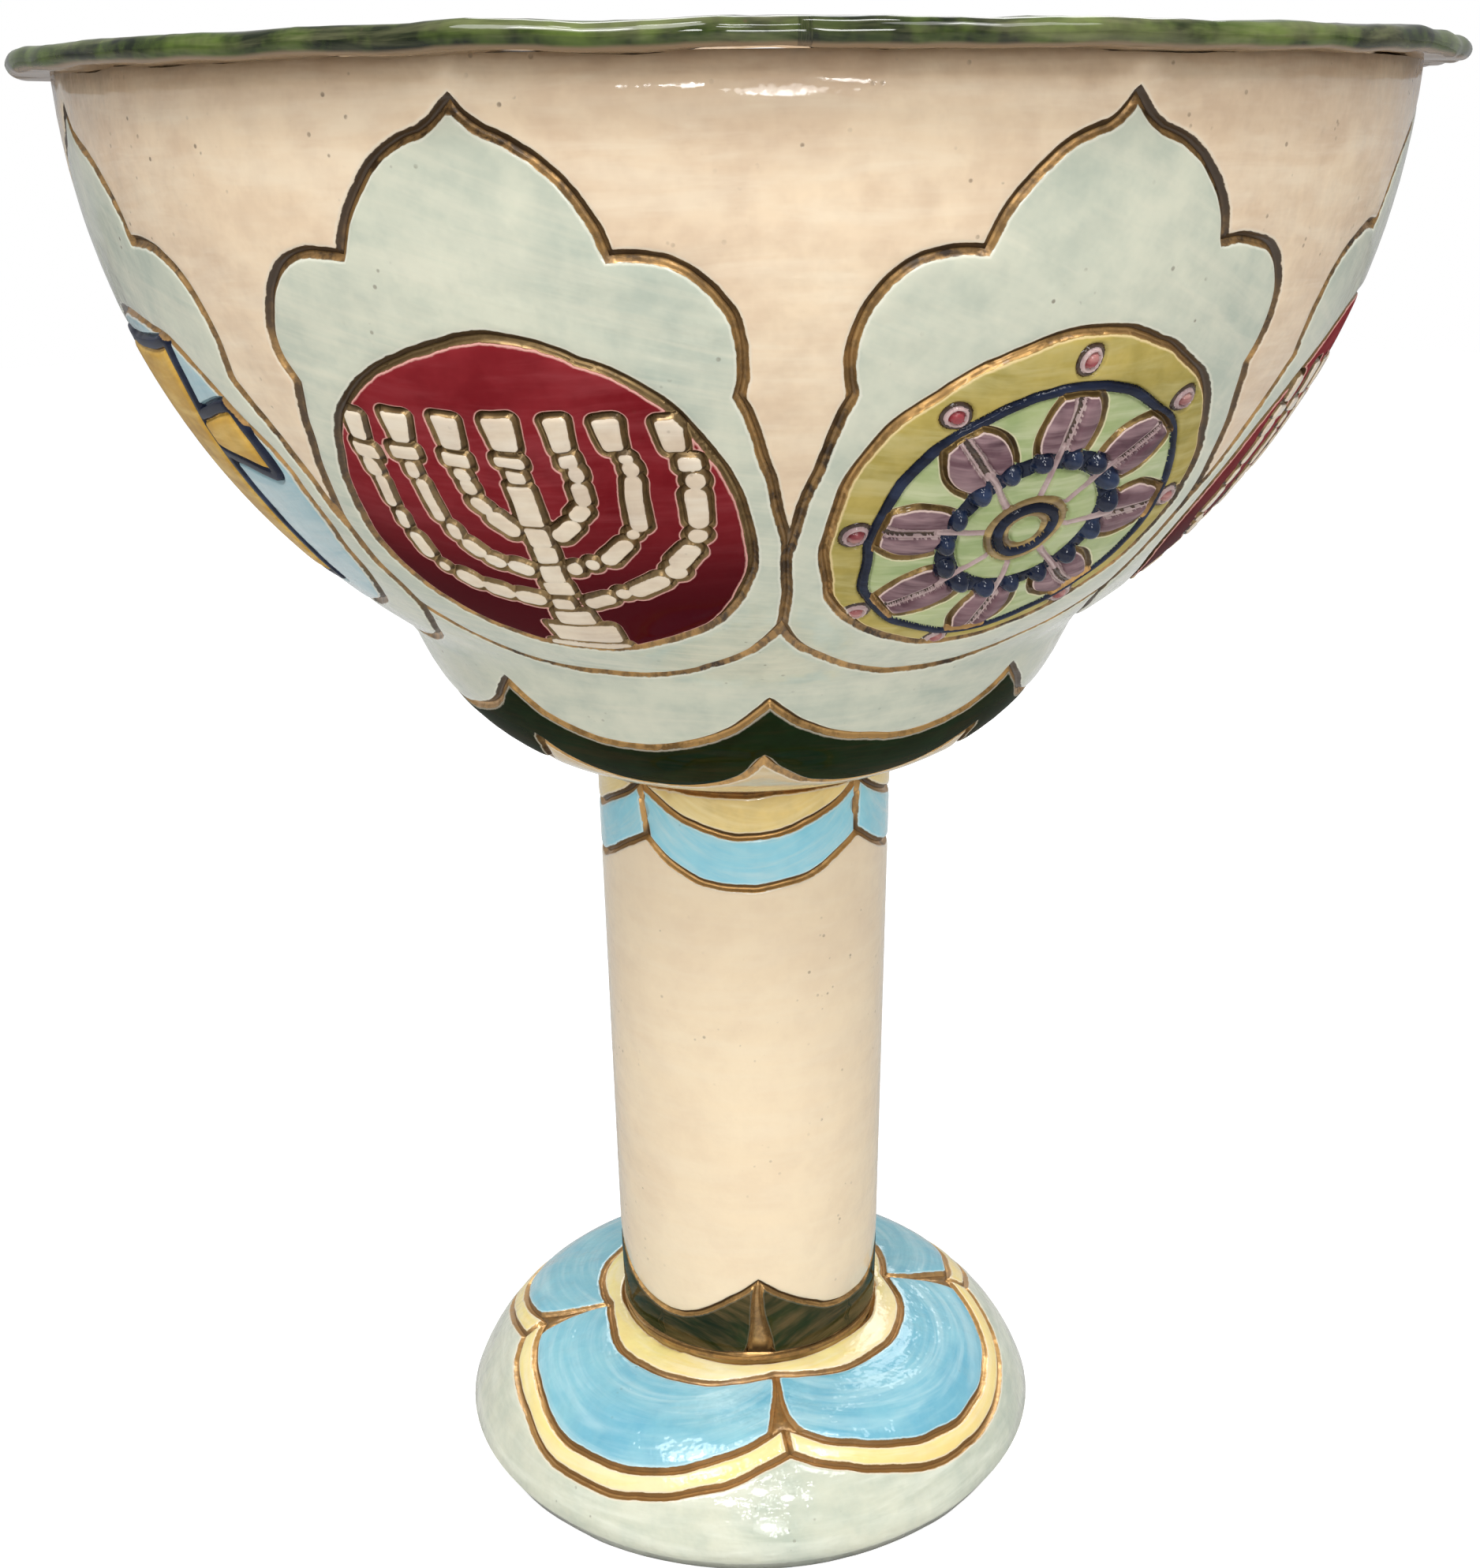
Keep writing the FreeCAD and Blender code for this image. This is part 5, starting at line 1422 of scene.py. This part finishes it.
figureMeshes = {name: figureMesh(figure["layers"]) for name, figure in figures.items()}
for number, kind in figureOf.items():
    disc, layers = discChart(number), figures[kind]["layers"]
    flat, faces = figureMeshes[kind]
    top, edge, depth, crown = readLayers(flat, layers)
    faceTop = readLayers(flat[faces].mean(1), layers)[0]
    points, normals = disc.place(handCut(disc, flat))
    points = points + normals * (crown - depth)[:, None]
    own = np.full((len(flat), 1), number * figureSizes["strokeStep"])
    stroke = np.concatenate([flat, own], 1) * milli
    look, groundSlot = figures[kind]["ground"]
    looks = list(dict.fromkeys(layer[3] for layer in layers))
    lookOf = np.array([looks.index(layer[3]) for layer in layers] + [0])[faceTop]
    for name, pick, node, used, slotName in (
            (look + "_ground", faceTop < 0, "medallion_ground", [look], groundSlot),
            (kind, faceTop >= 0, "medallion_motif", looks, figures[kind]["slot"])):
        own, ownFaces, (ownNormals, ownEdge, ownStroke) = cutOut(
            points, faces[pick], normals, edge, stroke)
        solid, allFaces, count = closedShell(own, ownNormals, ownFaces,
                                             figureSizes["thickness"])
        values = {"edge": np.tile(ownEdge, 2), "stroke": np.tile(ownStroke, (2, 1))}
        rim = np.zeros(len(allFaces) - 2 * count, int)
        slots = np.concatenate([lookOf[pick], lookOf[pick], rim])
        makePiece(f"{name}_{number}", solid, allFaces, count, used,
                  [f"{node}_{number}"], values, slots, base=np.tile(ownNormals, (2, 1)))
print("medallions made")


# Camera
cameraSizes = {"lens": 43.87, "sensor": 36.0, "reach": 664.0, "lift": 488.7,
               "azimuth": -0.0719, "pitch": 0.3307, "roll": -0.0113, "yaw": -0.0022,
               "clipStart": 0.02}


# The camera looks level along +Y, then yaws, pitches down and rolls, and the whole is
# turned about the upright axis to its azimuth
def makeCamera(c):
    forward = Vector((sin(c["yaw"]) * cos(c["pitch"]), cos(c["yaw"]) * cos(c["pitch"]),
                      -sin(c["pitch"])))
    right = forward.cross(Vector((0, 0, 1))).normalized()
    up = right.cross(forward)
    turnRight = cos(c["roll"]) * right + sin(c["roll"]) * up
    turnUp = cos(c["roll"]) * up - sin(c["roll"]) * right
    spin = Matrix.Rotation(c["azimuth"], 3, "Z")
    axes = [spin @ turnRight, spin @ turnUp, spin @ -forward]
    place = spin @ (Vector((0, -c["reach"], c["lift"])) * milli)
    data = bpy.data.cameras.new("camera")
    data.sensor_fit = "AUTO"
    data.sensor_width, data.lens, data.clip_start = c["sensor"], c["lens"], c["clipStart"]
    camera = addObject("camera", data)
    camera.matrix_world = Matrix.Translation(place) @ Matrix(axes).transposed().to_4x4()
    bpy.context.scene.camera = camera


makeCamera(cameraSizes)

# Floor, world and lights
studio = {"floorColour": (0.62, 0.62, 0.61), "floorGlow": 0.78, "floorRoughness": 0.7,
          "floorGloss": 0.1, "floorReach": 4.0, "floorSides": 128, "white": (1, 1, 1, 1),
          "skyColour": (0.40, 0.40, 0.405), "skyShine": 0.1, "aim": (0, 0, 0.3),
          "lamps": [("key", (-0.7, -1.0, 2.1), 1.0, 21.0), ("second", (0.8, -0.9, 2.1), 0.9, 11.5),
                    ("front", (0.1, -2.3, 0.9), 0.5, 4.2), ("back", (0.3, 1.6, 1.6), 1.2, 14.0),
                    ("bulb_1", (-0.55, -0.9, 1.7), 0.2, 2.5),
                    ("bulb_2", (0.05, -1.3, 1.9), 0.2, 2.5),
                    ("bulb_3", (0.6, -0.8, 1.8), 0.2, 2.5),
                    ("bulb_4", (0.3, -1.5, 1.2), 0.16, 1.6),
                    ("bulb_5", (-0.35, -1.5, 1.1), 0.16, 1.6),
                    ("bulb_6", (0.25, -0.2, 2.0), 0.2, 2.2),
                    ("bulb_7", (-0.3, -0.5, 2.1), 0.2, 2.2),
                    ("bulb_8", (0.0, -1.7, 1.6), 0.2, 2.0),
                    ("bulb_9", (0.05, -1.6, 0.6), 0.16, 1.2)]}


def makeStudio(s):
    data = bpy.data.meshes.new("floor")
    sides = s["floorSides"]
    angles = np.linspace(0, 2 * pi, sides + 1)[:-1]
    ring = np.stack([np.sin(angles), np.cos(angles), np.zeros(sides)], 1) * s["floorReach"]
    data.from_pydata(ring[::-1].tolist(), [], [list(range(sides))])
    addObject("floor", data)
    paint = bpy.data.materials.new("pale_floor")
    paint.use_nodes = True
    tree = paint.node_tree
    shader = tree.nodes["Principled BSDF"].inputs
    path = addNode(tree, "ShaderNodeLightPath").outputs
    for label, value in (
            ("Base Color", opaque(s["floorColour"])), ("Roughness", s["floorRoughness"]),
            ("Specular IOR Level", s["floorGloss"]), ("Emission Color", s["white"]),
            ("Emission Strength", times(tree, path["Is Camera Ray"], s["floorGlow"]))):
        fill(tree, [shader[label]], [value])
    data.materials.append(paint)
    world = bpy.data.worlds.new("studio")
    world.use_nodes = True
    bpy.context.scene.world = world
    tree = world.node_tree
    path = addNode(tree, "ShaderNodeLightPath").outputs
    seen = mathNode(tree, "MAXIMUM", path["Is Camera Ray"], path["Is Transmission Ray"])
    shine = times(tree, path["Is Glossy Ray"], s["skyShine"])
    colour = mixColour(tree, mathNode(tree, "MAXIMUM", seen, shine), opaque(s["skyColour"]),
                       s["white"])
    link(tree, colour, tree.nodes["Background"].inputs["Color"])
    for name, place, size, power in s["lamps"]:
        light = bpy.data.lights.new(name, "AREA")
        light.shape, light.size, light.energy = "DISK", size, power
        lamp = addObject(name, light)
        lamp.location = place
        aim = Vector(s["aim"]) - Vector(place)
        lamp.rotation_euler = aim.to_track_quat("-Z", "Y").to_euler()


makeStudio(studio)
bpy.context.scene.view_settings.view_transform = "Standard"

print("done")
